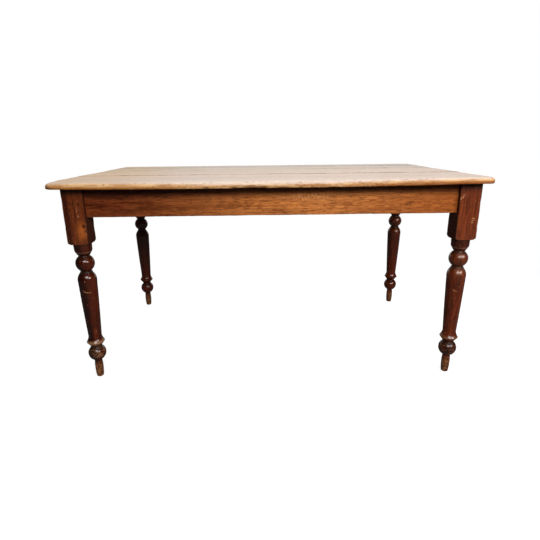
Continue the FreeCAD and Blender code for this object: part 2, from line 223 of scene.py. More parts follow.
# A nick further under the top than this lifts the edge, and any other lowers it, by a share of its depth
LOW_NICK = 0.018
LOW_NICK_LIFT = 0.6
HIGH_NICK_LIFT = -0.5

# How each board has moved since it was planed: fall of its middle, further fall to the back, and cup
BOARD_MOVES = (
    (0.0002, 0.0001, 0.0003),
    (0.0008, -0.0004, 0.0005),
    (0.0004, 0.0003, -0.0004),
    (0.0009, 0.0004, 0.0004),
    (0.0003, -0.0003, 0.0005),
    (0.0006, 0.0002, -0.0004),
)
# The front left corner is worn thin: how far, and to which distance from the corner
CORNER_WEAR = 0.0042
CORNER_WEAR_REACH = 0.10
# The front edge of the top has dropped: how far, from which distance in, about which X, over which
# half length, and how steeply along and out
DROOP = 0.0056
DROOP_START = 0.043
DROOP_MIDDLE = -0.10
DROOP_HALF = 0.75
DROOP_ALONG_POWER = 3
DROOP_OUT_POWER = 1.6

# Where wear, grime in the joints and painted shade show, each as the start and end of a fade
NOSE_FADE = (0.001, 0.016)
SEAM_REACH = 0.02
BLOCK_CORNER_FADE = (HALF_LEG * 1.28, HALF_LEG * 1.385)
BLOCK_EDGE_FADE = (HALF_LEG - 0.006, HALF_LEG - 0.0015)
BLOCK_FOOT_FADE = (BLOCK_BOTTOM, BLOCK_BOTTOM + 0.004)
BLOCK_SHADE_FADE = (FRAME_TOP - 0.042, FRAME_TOP - 0.012)
INNER_FACE_FADE = (HALF_LEG - 0.0025, HALF_LEG - 0.0008)
PROUD_FADE = (0.0006, 0.0030)
HOLLOW_FADE = (0.0008, 0.0040)
NECK_HEIGHTS = (0.1315, 0.4325, 0.4920)
NECK_FADE = (0.004, 0.014)
# A turning is proud or hollow against a running mean of its outline: the step, and how many steps it takes in
PROUD_STEP = 0.0005
PROUD_WINDOW = 33
BLOCK_FOOT_WEAR = 0.7
RAIL_KNOCK_FADE = (RAIL_BOTTOM, RAIL_BOTTOM + 0.006)
RAIL_WEAR_FADE = (RAIL_BOTTOM + 0.001, RAIL_BOTTOM + 0.006)
RAIL_SHADE_FADE = (FRAME_TOP - 0.055, FRAME_TOP - 0.019)


# Helpers for meshes

def lumps(points, size, seed):
    """Smooth noise from about -1 to 1 at each point, with lumps of the given size along X, Y and Z."""
    scaled = np.asarray(points) / np.asarray(size) + SEED_STRIDE * seed
    return np.array([noise.noise(row) for row in scaled.tolist()])


def waves(points, rows, seed):
    return sum(deep * (1 + lumps(points, size, seed + own)) for deep, size, own in rows)


def hollows(points, rows, seed):
    return sum(deep * np.clip(lumps(points, size, seed + own) - rare, 0, 1) for deep, size, own, rare in rows)


def smoothstep(values, low, high):
    part = np.clip((values - low) / (high - low), 0, 1)
    return part * part * (3 - 2 * part)


def smoothed(values, weights):
    """Running mean of a row of values."""
    half = len(weights) // 2
    return np.convolve(np.pad(values, half, mode="edge"), weights / weights.sum(), mode="valid")


def add_object(name, vertices, faces):
    mesh = bpy.data.meshes.new(name)
    mesh.from_pydata([tuple(vertex) for vertex in vertices], [], faces)
    made = bpy.data.objects.new(name, mesh)
    bpy.context.collection.objects.link(made)
    work = bmesh.new()
    work.from_mesh(mesh)
    bmesh.ops.recalc_face_normals(work, faces=work.faces)
    work.to_mesh(mesh)
    work.free()
    return made


def band(first, second):
    """Faces between two closed rings of vertices."""
    return np.stack([first, np.roll(first, -1), np.roll(second, -1), second], axis=1).tolist()


def tube(name, rings):
    """Closed piece through rings of points."""
    index = np.arange(rings.shape[0] * rings.shape[1]).reshape(rings.shape[:2])
    faces = []
    for first, second in zip(index, index[1:]):
        faces += band(first, second)
    return add_object(name, rings.reshape(-1, 3), faces + [index[0].tolist(), index[-1].tolist()])


def positions(piece):
    flat = np.empty(len(piece.data.vertices) * 3)
    piece.data.vertices.foreach_get("co", flat)
    return flat.reshape(-1, 3)


def mark(piece, name, values):
    """Stores one number at each vertex for the material to read."""
    layer = piece.data.attributes.new(name, "FLOAT", "POINT")
    layer.data.foreach_set("value", np.asarray(values, dtype=np.float32))


def prism(outline, push):
    """Vertices and faces of a flat outline swept along a vector."""
    count = len(outline)
    vertices = [Vector(point) for point in outline] + [Vector(point) + Vector(push) for point in outline]
    sides = [(i, (i + 1) % count, count + (i + 1) % count, count + i) for i in range(count)]
    return vertices, [tuple(range(count)), tuple(range(count, 2 * count))] + sides


def box_solid(low, high):
    x0, y0, z0 = low
    x1, y1, z1 = high
    return prism([(x0, y0, z0), (x1, y0, z0), (x1, y1, z0), (x0, y1, z0)], (0, 0, z1 - z0))


def peg_hole(centre, push):
    """Round bar from a centre along a push that lies along X or Y."""
    across = Vector((0, 1, 0)) if abs(push[0]) > 0 else Vector((1, 0, 0))
    up = Vector((0, 0, 1))
    ring = []
    for index in range(PEG_SIDES):
        angle = 2 * math.pi * index / PEG_SIDES
        ring.append(Vector(centre) + PEG_RADIUS * (math.cos(angle) * across + math.sin(angle) * up))
    return prism(ring, push)


def combine(piece, operation, solids):
    """Cuts solids from a piece, or joins them to it, and keeps the result as its mesh."""
    vertices = []
    faces = []
    for solid_vertices, solid_faces in solids:
        faces += [tuple(index + len(vertices) for index in face) for face in solid_faces]
        vertices += solid_vertices
    tool = add_object("tool", vertices, faces)
    change = piece.modifiers.new("joint", "BOOLEAN")
    change.operation = operation
    change.solver = "EXACT"
    change.object = tool
    shape = piece.evaluated_get(bpy.context.evaluated_depsgraph_get())
    mesh = bpy.data.meshes.new_from_object(shape)
    piece.modifiers.clear()
    old = piece.data
    piece.data = mesh
    mesh.name = piece.name
    bpy.data.meshes.remove(old)
    bpy.data.objects.remove(tool)


def move_to_frame(piece):
    """Moves a piece made about the middle of the frame to its place."""
    piece.data.transform(Matrix.Translation((FRAME_X, 0, 0)))


def finish_piece(piece, node, material):
    """Gives a piece its shading and material, and puts it in the place of its node."""
    piece.data.shade_smooth()
    piece.data.set_sharp_from_angle(angle=math.radians(SHARP_ANGLE))
    piece.data.materials.clear()
    piece.data.materials.append(material)
    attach(piece, BODY)
    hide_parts(node)


# Plank top

def spaced(low, high, low_steps, high_steps, pitch):
    """Positions that follow the given steps in from each end and are about a pitch apart between them."""
    first = [low + step for step in low_steps]
    last = [high - step for step in reversed(high_steps)]
    count = max(2, round((last[0] - first[-1]) / pitch))
    middle = np.linspace(first[-1], last[0], count + 1)[1:-1]
    return np.array(first + list(middle) + last)


def edge_steps():
    """Steps in from a rounded edge: evenly round the nosing, then out to the end of the corner."""
    round_part = [NOSING_UPPER * (1 - math.cos(math.radians(angle))) for angle in range(0, 91, 15)]
    return [*round_part, *CORNER_STEPS]


def drop(depth, radius):
    """How far a quarter round of some radius has fallen away at a depth in from its edge."""
    inside = np.clip(radius - depth, 0, radius)
    return radius - np.sqrt(radius ** 2 - inside ** 2)


def round_corners(x, y, outer_sign):
    """Bends the square corners of a grid round, keeping every point's distance from the edge."""
    middle_x = TOP_HIGH.x - CORNER_RADIUS
    middle_y = TOP_HIGH.y - CORNER_RADIUS
    a = np.abs(x) - middle_x
    b = y * outer_sign - middle_y
    inside = (a > 0) & (b > 0)
    reach = np.maximum(a, b)
    share = np.minimum(a, b) / np.where(inside, reach, 1)
    turn = np.where(a >= b, share, 2 - share) * math.pi / 4
    new_x = np.sign(x) * (middle_x + reach * np.cos(turn))
    new_y = outer_sign * (middle_y + reach * np.sin(turn))
    return np.where(inside, new_x, x), np.where(inside, new_y, y)


def edge_depth(points):
    """Distance of each point in from the outline of the whole top."""
    a = np.abs(points[:, 0]) - (TOP_HIGH.x - CORNER_RADIUS)
    b = np.abs(points[:, 1]) - (TOP_HIGH.y - CORNER_RADIUS)
    corner = np.hypot(np.maximum(a, 0), np.maximum(b, 0))
    return CORNER_RADIUS - np.where((a > 0) & (b > 0), corner, np.maximum(a, b))


def droop(x, y):
    """How far the overhanging front edge has dropped."""
    along = np.clip(1 - np.abs((x - DROOP_MIDDLE) / DROOP_HALF) ** DROOP_ALONG_POWER, 0, 1)
    out = np.clip((TOP_LOW.y + DROOP_START - y) / DROOP_START, 0, 1)
    return DROOP * along * out ** DROOP_OUT_POWER


def nail_places():
    """X and Y of every nail, read from the frame's nail nodes."""
    places = []
    for row in NAIL_ROWS:
        points = np.array([vertex.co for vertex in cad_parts["nails_" + row].data.vertices])
        points = points[np.argsort(points[:, 1])]
        breaks = np.flatnonzero(np.diff(points[:, 1]) > NAIL_GAP) + 1
        for nail in np.split(points, breaks):
            places.append(((nail.min(axis=0) + nail.max(axis=0)) / 2)[:2])
    return places


def nail_hole(x, y, profile):
    """Cutter as thick as a nail, from the half widths and heights down one side of it."""
    half_thick = (NAILS_HIGH.x - NAILS_LOW.x) / 2 + NAIL_CLEARANCE
    outline = [(x - half_thick, y - half, z) for half, z in profile]
    outline += [(x - half_thick, y + half, z) for half, z in reversed(profile)]
    return prism(outline, (2 * half_thick, 0, 0))


def board(number):
    """One board of the top as a closed grid, worn, with its grooves and nail holes."""
    low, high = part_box("top_board_%d" % number)
    # Front and back of the board: the sign of its side, whether it is an outer edge of the top, and its Y
    sides = ((-1, number == 1, low.y), (1, number == BOARD_COUNT, high.y))
    front_steps, back_steps = (edge_steps() if is_outer else JOINT_STEPS for sign, is_outer, edge in sides)
    x_lines = spaced(low.x, high.x, edge_steps(), edge_steps(), BOARD_PITCH)
    y_lines = spaced(low.y, high.y, front_steps, back_steps, BOARD_PITCH)
    x, y = np.meshgrid(x_lines, y_lines, indexing="ij")
    depth = TOP_HIGH.x - np.abs(x)
    joint_fall = np.zeros_like(x)
    for sign, is_outer, edge in sides:
        into = sign * (edge - y)
        if is_outer:
            depth = np.minimum(depth, into)
            x, y = round_corners(x, y, sign)
        else:
            joint_fall = np.maximum(joint_fall, drop(into, JOINT_ARRIS))
    fall = board_wear(number, x, y, low.y, high.y)
    sunk = droop(x, y)
    top_z = TOP_HIGH.z - np.maximum(drop(depth, NOSING_UPPER), joint_fall) - fall - sunk
    bottom_z = TOP_LOW.z + np.maximum(drop(depth, NOSING_LOWER), UNDER_ARRIS_SHARE * joint_fall) - sunk
    vertices, faces = closed_grid(np.stack([x, y, top_z], axis=2), np.stack([x, y, bottom_z], axis=2))
    piece = add_object("worn_board_%d" % number, worn_edge(vertices, number), faces)
    combine(piece, "DIFFERENCE", board_cuts(number, low, high))
    mark_board(piece, sides)
    return piece


def board_wear(number, x, y, front, back):
    """How far the upper face of a board has gone down by wear and by moving."""
    flat = np.stack([x.ravel(), y.ravel(), np.zeros(x.size)], axis=1)
    worn = waves(flat, BOARD_WAVES, number).reshape(x.shape)
    from_corner = np.hypot(x - TOP_LOW.x, y - TOP_LOW.y)
    worn += CORNER_WEAR * np.clip(1 - from_corner / CORNER_WEAR_REACH, 0, 1)
    middle, tilt, cup = BOARD_MOVES[number - 1]
    across = (2 * y - front - back) / (back - front)
    return worn + np.maximum(middle + tilt * across + cup * across ** 2, 0)


def closed_grid(top, bottom):
    """Vertices and faces of a slab from the grids of its two faces, with rows of points down its edge."""
    rows, columns = top.shape[:2]
    index = np.arange(rows * columns).reshape(rows, columns)
    quads = np.stack([index[:-1, :-1], index[1:, :-1], index[1:, 1:], index[:-1, 1:]], axis=2).reshape(-1, 4)
    faces = quads.tolist() + (quads[:, ::-1] + index.size).tolist()
    rim = np.concatenate([index[:, 0], index[-1, 1:], index[-2::-1, -1], index[0, -2:0:-1]])
    vertices = np.concatenate([top.reshape(-1, 3), bottom.reshape(-1, 3)])
    upper = vertices[rim]
    lower = vertices[rim + index.size]
    layers = [rim]
    for row in range(1, WALL_ROWS):
        share = row / WALL_ROWS
        layers.append(np.arange(len(rim)) + len(vertices))
        vertices = np.concatenate([vertices, upper * (1 - share) + lower * share])
    layers.append(rim + index.size)
    for first, second in zip(layers, layers[1:]):
        faces += band(first, second)
    return vertices, faces


def worn_edge(vertices, number):
    """Rounds over and nicks the outer edge of the top where hands, chairs and pans have met it."""
    near = edge_depth(vertices) < EDGE_KNOCK_REACH
    edge = vertices[near]
    on_end = np.abs(edge[:, 0]) - TOP_HIGH.x > np.abs(edge[:, 1]) - TOP_HIGH.y
    inward = np.zeros_like(edge)
    inward[on_end, 0] = -np.sign(edge[on_end, 0])
    inward[~on_end, 1] = -np.sign(edge[~on_end, 1])
    edge = edge + inward * hollows(edge, EDGE_KNOCKS, number)[:, None]
    nicks = FRONT_NICKS if number == 1 else ()
    for nick_x, under, radius, deep in nicks:
        centre = np.array([nick_x, TOP_LOW.y, TOP_HIGH.z - under - droop(nick_x, TOP_LOW.y)])
        away = np.linalg.norm((edge - centre) / np.array(NICK_SHAPE), axis=1) / radius
        bite = deep * np.clip(1 - away ** 2, 0, 1) ** 2
        ragged = 1 + NICK_RAGGED * lumps(edge, NICK_LUMPS, NICK_SEED)
        lift = LOW_NICK_LIFT if under > LOW_NICK else HIGH_NICK_LIFT
        edge = edge + (bite * ragged)[:, None] * np.array([0, 1, lift])
    worn = vertices.copy()
    worn[near] = edge
    return worn


def board_cuts(number, low, high):
    """Grooves for the loose tongues and holes for the nails of one board."""
    cuts = []
    spare = Vector((TONGUE_CLEARANCE,) * 3)
    for joint in (number - 1, number):
        if 1 <= joint < BOARD_COUNT:
            tongue_low, tongue_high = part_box("loose_tongue_%d" % joint)
            cuts.append(box_solid(tongue_low - spare, tongue_high + spare))
    return cuts + [nail_hole(x, y, HOLE_IN_BOARD) for x, y in nail_places() if low.y < y < high.y]


def mark_board(piece, sides):
    """Marks the rounded edge, the joints and the height within the board."""
    points = positions(piece)
    x, y, z = points.T
    mark(piece, "nose", 1 - smoothstep(edge_depth(points), *NOSE_FADE))
    seam = np.full(len(points), 1.0)
    for sign, is_outer, edge in sides:
        if not is_outer:
            seam = np.minimum(seam, sign * (edge - y))
    mark(piece, "seam", np.clip(1 - seam / SEAM_REACH, 0, 1))
    mark(piece, "height", (z + droop(x, y) - TOP_LOW.z) / (TOP_HIGH.z - TOP_LOW.z))


# Turned legs

def arc(start, middle, end, count):
    """Points on the circle through three points, after the start and up to the end."""
    start, middle, end = np.array([start, middle, end])
    chords = np.array([middle - start, end - start])
    centre = start + np.linalg.solve(2 * chords, np.sum(chords ** 2, axis=1))
    radius = np.hypot(*(start - centre))
    first, last = (math.atan2(*(point - centre)[::-1]) for point in (start, end))
    sweep = (last - first + math.pi) % (2 * math.pi) - math.pi
    angles = first + sweep * np.arange(1, count + 1) / count
    return list(zip(centre[0] + radius * np.cos(angles), centre[1] + radius * np.sin(angles)))


def turning_outline():
    """Radius and height along the turning, from the foot to the block, with softened edges."""
    points = [(FOOT_START_RADIUS, 0.0)]
    for rise, radius, middle_radius in TURNING:
        start = points[-1]
        end = (radius, start[1] + rise)
        count = max(2, round(math.dist(start, end) / OUTLINE_STEP))
        if middle_radius is None:
            points += [tuple(point) for point in np.linspace(start, end, count + 1)[1:]]
        else:
            points += arc(start, (middle_radius, start[1] + rise / 2), end, count)
    spread = round(3 * EDGE_SOFTNESS / OUTLINE_STEP)
    weights = np.exp(-0.5 * (np.arange(-spread, spread + 1) * OUTLINE_STEP / EDGE_SOFTNESS) ** 2)
    return np.stack([smoothed(column, weights) for column in np.array(points).T], axis=1)


def chosen_stations(outline):
    """Fewer points of an outline: a spacing apart where it is straight and closer where it bends."""
    step = np.diff(outline, axis=0)
    length = np.hypot(step[:, 0], step[:, 1])
    heading = np.unwrap(np.arctan2(step[:, 1], step[:, 0]))
    turn = np.abs(np.diff(heading, prepend=heading[0]))
    need = np.concatenate([[0], np.cumsum(length / RING_SPACING + turn / RING_TURN)])
    wanted = np.linspace(0, need[-1], int(need[-1]) + 1)
    return np.stack([np.interp(wanted, need, column) for column in outline.T], axis=1)


def ring_angles():
    """Angles round a leg that put points evenly on the flats of its block and round its arrises."""
    flat_half = HALF_LEG - LEG_ARRIS
    side = [math.atan2(y, HALF_LEG) for y in np.linspace(-flat_half, flat_half, FLAT_POINTS)]
    for turn in np.radians((22.5, 45.0, 67.5)):
        out = flat_half + LEG_ARRIS * math.cos(turn)
        over = flat_half + LEG_ARRIS * math.sin(turn)
        side.append(math.atan2(over, out))
    return np.array([angle + quarter * math.pi / 2 for quarter in range(4) for angle in side])


def square_reach(angles, half):
    """Distance from the axis to a square with rounded corners, at each angle."""
    a = np.maximum(np.abs(np.cos(angles)), np.abs(np.sin(angles)))
    b = np.minimum(np.abs(np.cos(angles)), np.abs(np.sin(angles)))
    flat = half / a
    inner = half - LEG_ARRIS
    half_sum = inner * (a + b)
    corner = half_sum + np.sqrt(np.maximum(half_sum ** 2 - 2 * inner ** 2 + LEG_ARRIS ** 2, 0))
    return np.where(flat * b <= inner, flat, corner)


def pommel_reach(height):
    """Distance from the axis at which the pommel cuts the corners of the block off."""
    start = HALF_LEG + POMMEL_FLAT
    share = np.clip((height - BLOCK_BOTTOM) / POMMEL_RISE, 0, 1)
    return start + share * (HALF_LEG * math.sqrt(2) - start)


def leg_rings():
    """Rings of points on a leg about its own axis, from the floor up, before wear."""
    angles = ring_angles()
    turned = chosen_stations(turning_outline())
    rings = [(np.full(len(angles), radius), height) for radius, height in turned]
    collar = turned[-1][0]
    edge = np.minimum(square_reach(angles, HALF_LEG - BLOCK_EASE), pommel_reach(BLOCK_BOTTOM) - BLOCK_EASE)
    rings += [(collar + share * (edge - collar), BLOCK_BOTTOM) for share in SHOULDER_SHARES]
    heights = list(BLOCK_BOTTOM + BLOCK_EASE + POMMEL_RISE * np.linspace(0, 1, POMMEL_RINGS))
    count = round((FRAME_TOP - heights[-1]) / BLOCK_PITCH)
    heights += list(np.linspace(heights[-1], FRAME_TOP, count + 1)[1:])
    square = square_reach(angles, HALF_LEG)
    rings += [(np.minimum(square, pommel_reach(height)), height) for height in heights]
    around = np.stack([np.cos(angles), np.sin(angles)])
    level = np.ones(len(angles))
    return np.array([np.stack([*(reach * around), height * level], axis=1) for reach, height in rings])


def leg(name, sign_x, sign_y, seed):
    """Turned leg with its square block, worn, with its mortises and peg holes."""
    rings = leg_rings()
    points = rings.reshape(-1, 3)
    radius = np.hypot(points[:, 0], points[:, 1])
    in_block = points[:, 2] > BLOCK_BOTTOM - HEIGHT_SLACK
    knocks = hollows(points, LEG_KNOCKS, seed) * smoothstep(radius, *BLOCK_CORNER_FADE)
    dents = hollows(points, LEG_DENTS, seed)
    shrink = np.where(in_block, knocks + BLOCK_DENT_SHARE * dents, dents) + waves(points, LEG_WAVES, seed)
    points[:, :2] *= (1 - shrink / np.maximum(radius, LEAST_RADIUS))[:, None]
    points[:, :2] += (sign_x * LEG_X, sign_y * LEG_Y)
    piece = tube("turned_leg_" + name, points.reshape(rings.shape))
    mortises, holes = leg_cuts(sign_x, sign_y)
    combine(piece, "DIFFERENCE", mortises)
    combine(piece, "DIFFERENCE", holes)
    mark_leg(piece, sign_x, sign_y)
    move_to_frame(piece)
    return piece


def mark_leg(piece, sign_x, sign_y):
    """Marks where a leg is rubbed pale, where shade is painted under the top and in its hollows, and its
    inner faces.
    """
    x, y, z = positions(piece).T
    off_x = x - sign_x * LEG_X
    off_y = y - sign_y * LEG_Y
    in_block = z > BLOCK_BOTTOM
    radii, heights = turning_outline().T
    order = np.argsort(heights, kind="stable")
    even = np.arange(0, BLOCK_BOTTOM, PROUD_STEP)
    even_radius = np.interp(even, heights[order], radii[order])
    proud = np.interp(z, even, even_radius - smoothed(even_radius, np.hanning(PROUD_WINDOW)))
    from_neck = np.min(np.abs(z[:, None] - np.array(NECK_HEIGHTS)), axis=1)
    hollow_shade = np.maximum(smoothstep(-proud, *HOLLOW_FADE), 1 - smoothstep(from_neck, *NECK_FADE))
    edge_wear = smoothstep(np.minimum(np.abs(off_x), np.abs(off_y)), *BLOCK_EDGE_FADE)
    block_wear = np.maximum(edge_wear, BLOCK_FOOT_WEAR * (1 - smoothstep(z, *BLOCK_FOOT_FADE)))
    mark(piece, "wear", np.where(in_block, block_wear, smoothstep(proud, *PROUD_FADE)))
    # Painted shade: darker under the top on the block, and in the hollows and necks of the turning
    mark(piece, "painted_shade", np.where(in_block, smoothstep(z, *BLOCK_SHADE_FADE), hollow_shade))
    # Painted shade: the block's inner faces, under the table, are marked to be darkened
    inward = np.maximum(-sign_x * off_x, -sign_y * off_y)
    mark(piece, "inner", np.where(in_block, smoothstep(inward, *INNER_FACE_FADE), 0))


# Joints of the legs and rails

def oriented(is_long, along, across, height):
    """A place or a way given along and across a long rail, which runs along X, or a short one."""
    return (along, across, height) if is_long else (across, along, height)


def tenon_outline(start, clearance, end_room, above):
    """Corners of a haunched tenon, or of its mortise, seen from the side: (distance into the leg, height)."""
    bottom = RAIL_BOTTOM + TENON_LOWER_SHOULDER - clearance
    top = FRAME_TOP - HAUNCH_DEPTH + clearance
    reach = TENON_LENGTH + end_room
    haunch = HAUNCH_LENGTH + end_room
    return [(start, bottom), (reach, bottom), (reach, top), (haunch, top), (haunch, above), (start, above)]


def leg_cuts(sign_x, sign_y):
    """Mortises for the long and the short rail, and the holes for their pegs."""
    mortises = []
    holes = []
    inner = TENON_INNER - MORTISE_CLEARANCE
    width = TENON_THICKNESS + 2 * MORTISE_CLEARANCE
    push = PEG_DEPTH + CUTTER_ROOM
    side = tenon_outline(-CUTTER_ROOM, MORTISE_CLEARANCE, MORTISE_END_ROOM, FRAME_TOP + CUTTER_ROOM)
    ways = ((True, LEG_X, sign_x, LEG_Y, sign_y), (False, LEG_Y, sign_y, LEG_X, sign_x))
    for is_long, leg_along, sign_along, leg_across, sign_across in ways:
        shoulder = leg_along - HALF_LEG
        face = sign_across * (leg_across + inner)
        outline = [oriented(is_long, sign_along * (shoulder + s), face, z) for s, z in side]
        mortises.append(prism(outline, oriented(is_long, 0, sign_across * width, 0)))
        peg_along = sign_along * (shoulder + PEG_FROM_SHOULDER)
        peg_start = sign_across * (leg_across + HALF_LEG + CUTTER_ROOM)
        for height in PEG_HEIGHTS:
            centre = oriented(is_long, peg_along, peg_start, height)
            holes.append(peg_hole(centre, oriented(is_long, 0, -sign_across * push, 0)))
    return mortises, holes


def rail_tenons(is_long, sign, leg_along, leg_across):
    """Haunched tenons of a rail, rooted a little way inside its ends."""
    solids = []
    for end in (-1, 1):
        outline = []
        for s, z in tenon_outline(-TENON_ROOT, 0, 0, FRAME_TOP - HAUNCH_EASE):
            along = end * (leg_along - HALF_LEG + s)
            outline.append(oriented(is_long, along, sign * (leg_across + TENON_INNER), z))
        solids.append(prism(outline, oriented(is_long, 0, sign * TENON_THICKNESS, 0)))
    return solids


def rail_cuts(is_long, sign, leg_along, leg_across):
    """Peg holes in a rail's tenons, and its dovetail socket or nail holes."""
    cuts = []
    start = sign * (leg_across + TENON_INNER - CUTTER_ROOM)
    push = oriented(is_long, 0, sign * (TENON_THICKNESS + 2 * CUTTER_ROOM), 0)
    for end in (-1, 1):
        along = end * (leg_along - HALF_LEG + PEG_FROM_SHOULDER)
        cuts += [peg_hole(oriented(is_long, along, start, height), push) for height in PEG_HEIGHTS]
    if is_long:
        return cuts + [dovetail_socket(sign)]
    own_nails = [(x - FRAME_X, y) for x, y in nail_places() if (x - FRAME_X) * sign > leg_across]
    return cuts + [nail_hole(x, y, HOLE_IN_FRAME) for x, y in own_nails]


def dovetail_socket(sign):
    """Socket in the top of a long rail for the dovetail of the cross bearer."""
    bearer_low, bearer_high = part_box("cross_bearer")
    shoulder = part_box("rail_back")[1].y - RAIL_THICKNESS
    tip = bearer_high.y + DOVETAIL_CLEARANCE
    bottom = bearer_low.z - DOVETAIL_CLEARANCE
    flare = (DOVETAIL_END - DOVETAIL_NECK) / 2 / (tip - shoulder)
    mouth = DOVETAIL_NECK / 2 - flare * CUTTER_ROOM
    end = DOVETAIL_END / 2
    near = sign * (shoulder - CUTTER_ROOM)
    far = sign * tip
    outline = [(-mouth, near, bottom), (mouth, near, bottom), (end, far, bottom), (-end, far, bottom)]
    return prism(outline, (0, 0, FRAME_TOP + CUTTER_ROOM - bottom))


# Rails

def rail_section():
    """Outline of a rail across its length as (distance in from the outer face, height), top first."""
    low = RAIL_BOTTOM
    high = FRAME_TOP
    inner = RAIL_THICKNESS
    turns = np.radians((0, 30, 60, 90))
    arris = [(RAIL_ARRIS * (1 - math.cos(turn)), low + RAIL_ARRIS * (1 - math.sin(turn))) for turn in turns]
    outline = [(RAIL_EASE, high), (0, high - RAIL_EASE)]
    outline += [(0, z) for z in np.linspace(high - RAIL_EASE, low + RAIL_ARRIS, RAIL_OUTER_POINTS)[1:-1]]
    outline += arris
    outline += [(n, low) for n in np.linspace(RAIL_ARRIS, inner - RAIL_ARRIS, RAIL_EDGE_POINTS)[1:-1]]
    outline += [(inner - n, z) for n, z in reversed(arris)]
    outline += [(inner, z) for z in np.linspace(low + RAIL_ARRIS, high - RAIL_EASE, RAIL_INNER_POINTS)[1:-1]]
    outline += [(inner, high - RAIL_EASE), (inner - RAIL_EASE, high)]
    outline += [(n, high) for n in np.linspace(inner - RAIL_EASE, RAIL_EASE, RAIL_EDGE_POINTS)[1:-1]]
    return np.array(outline)


def rail(name, seed):
    """Rail with its tenons, worn, with the cuts that its neighbours need."""
    low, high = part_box("rail_" + name)
    is_long = name in LONG_RAILS
    sign = 1 if name in ("back", "right") else -1
    face = high if sign > 0 else low
    outer = sign * (face.y if is_long else face.x - FRAME_X)
    leg_along, leg_across = (LEG_X, LEG_Y) if is_long else (LEG_Y, LEG_X)
    half = leg_along - HALF_LEG
    section = rail_section()
    stations = np.linspace(-half, half, round(2 * half / RAIL_PITCH) + 1)
    local = np.column_stack([np.repeat(stations, len(section)), np.tile(section, (len(stations), 1))])
    along, into, height = local.T
    wave = waves(local, RAIL_WAVES, seed)
    rub = (1 - smoothstep(height, *RAIL_KNOCK_FADE)) * hollows(local, RAIL_KNOCKS, seed)
    dents = hollows(local, RAIL_DENTS, seed)
    into = into + np.where(into < RAIL_THICKNESS / 2, wave + rub + dents, -wave - rub)
    points = np.stack(oriented(is_long, along, sign * (outer - into), height + rub), axis=1)
    piece = tube("worn_rail_" + name, points.reshape(len(stations), len(section), 3))
    combine(piece, "UNION", rail_tenons(is_long, sign, leg_along, leg_across))
    combine(piece, "DIFFERENCE", rail_cuts(is_long, sign, leg_along, leg_across))
    heights = positions(piece)[:, 2]
    mark(piece, "wear", 1 - smoothstep(heights, *RAIL_WEAR_FADE))
    # Painted shadow: the rail darkens towards its top, under the overhang of the top
    mark(piece, "painted_shade", smoothstep(heights, *RAIL_SHADE_FADE))
    move_to_frame(piece)
    return piece


# Colours and marks of use

def colour(red, green, blue):
    """Linear colour of an sRGB one given from 0 to 255."""
    linear = []
    for part in (red / 255, green / 255, blue / 255):
        linear.append(part / 12.92 if part <= 0.04045 else ((part + 0.055) / 1.055) ** 2.4)
    return (*linear, 1.0)


def grey(level):
    return (level, level, level, 1.0)


class Stain(NamedTuple):
    """Colours of one stained timber, and tints for the left and right of a long rail; the darker left is
    partly stain and partly painted shade.
    """
    early: tuple
    late: tuple
    pores: tuple
    figure: tuple
    left_tint: tuple = None
    right_tint: tuple = None


LONG_RAIL_STAIN = Stain(
    colour(210, 130, 67), colour(162, 91, 44), colour(76, 38, 17), colour(110, 58, 28),
    left_tint=colour(158, 130, 136), right_tint=colour(236, 220, 206),
)
SHORT_RAIL_STAIN = Stain(colour(150, 82, 42), colour(112, 56, 28), colour(62, 30, 16), colour(92, 46, 22))
LEG_STAIN = Stain(colour(136, 60, 26), colour(92, 38, 15), colour(42, 17, 8), colour(74, 30, 13))
TURNED_TINT = colour(188, 170, 162)
# Painted shade: the collar darkens up to the block above it
COLLAR_SHADE = colour(200, 196, 194)
SHEEN_TINT = colour(255, 170, 112)
RAIL_GLOSS = 0.35
LEG_GLOSS = 0.9
VARNISH = 0.20

# Timber: pith from the middle of the piece, lean of the pith along it, width of the growth rings
RAIL_PITH = (0.05, -0.02)
RAIL_LEAN = (0.045, 0.02)
RAIL_RINGS = 0.0052
RAIL_RIPPLE = 0.016
LEG_PITH = (0.05, 0.06)
LEG_LEAN = (0.02, -0.02)
LEG_RINGS = 0.0042
BARE_PITH = (0.04, FRAME_TOP + 0.05)
BARE_LEAN = (0.01, 0.01)
BARE_RINGS = 0.0042
BOARD_RINGS = 0.0046
BOARD_LEAN = 0.012
# Each board's pith across and under it, its lean across, and the tint it has weathered to
BOARD_TIMBERS = (
    (0.05, 0.05, 0.012, colour(246, 248, 250)),
    (-0.03, 0.02, -0.018, colour(250, 252, 255)),
    (0.02, 0.09, 0.02, colour(252, 254, 255)),
    (-0.06, 0.035, -0.01, colour(250, 254, 255)),
    (0.04, 0.06, 0.015, colour(246, 252, 255)),
    (-0.02, 0.03, -0.02, colour(242, 250, 255)),
)

# Stretches along the table, each as the start and end of a fade in X
YELLOWED_LEFT = (-0.25, -0.65)
PALE_NOSE_LEFT = (-0.42, -0.12)
PALE_NOSE_RIGHT = (0.45, 0.10)
BROWN_NOSE_LEFT = (-0.15, -0.45)
BROWN_NOSE_RIGHT = (0.15, 0.45)
FLECKED_NOSE_LEFT = (-0.36, -0.16)
FLECKED_NOSE_RIGHT = (0.60, 0.40)
PINK_NOSE_RIGHT = (0.10, 0.70)
POLISHED_NOSE = (-0.3, 0.3)
FIGURED_RAIL = (-0.45, 0.15)
DARK_RAIL_LEFT = (0.22, -0.42)
DULL_RAIL_RIGHT = (0.40, 0.80)
# Heights on the legs, as a fade in Z, or as one in and one out
TURNED_PART = (BLOCK_BOTTOM + 0.002, BLOCK_BOTTOM - 0.004)
# Painted shade on the collar, under the block
COLLAR = (BLOCK_BOTTOM - 0.034, BLOCK_BOTTOM - 0.022)
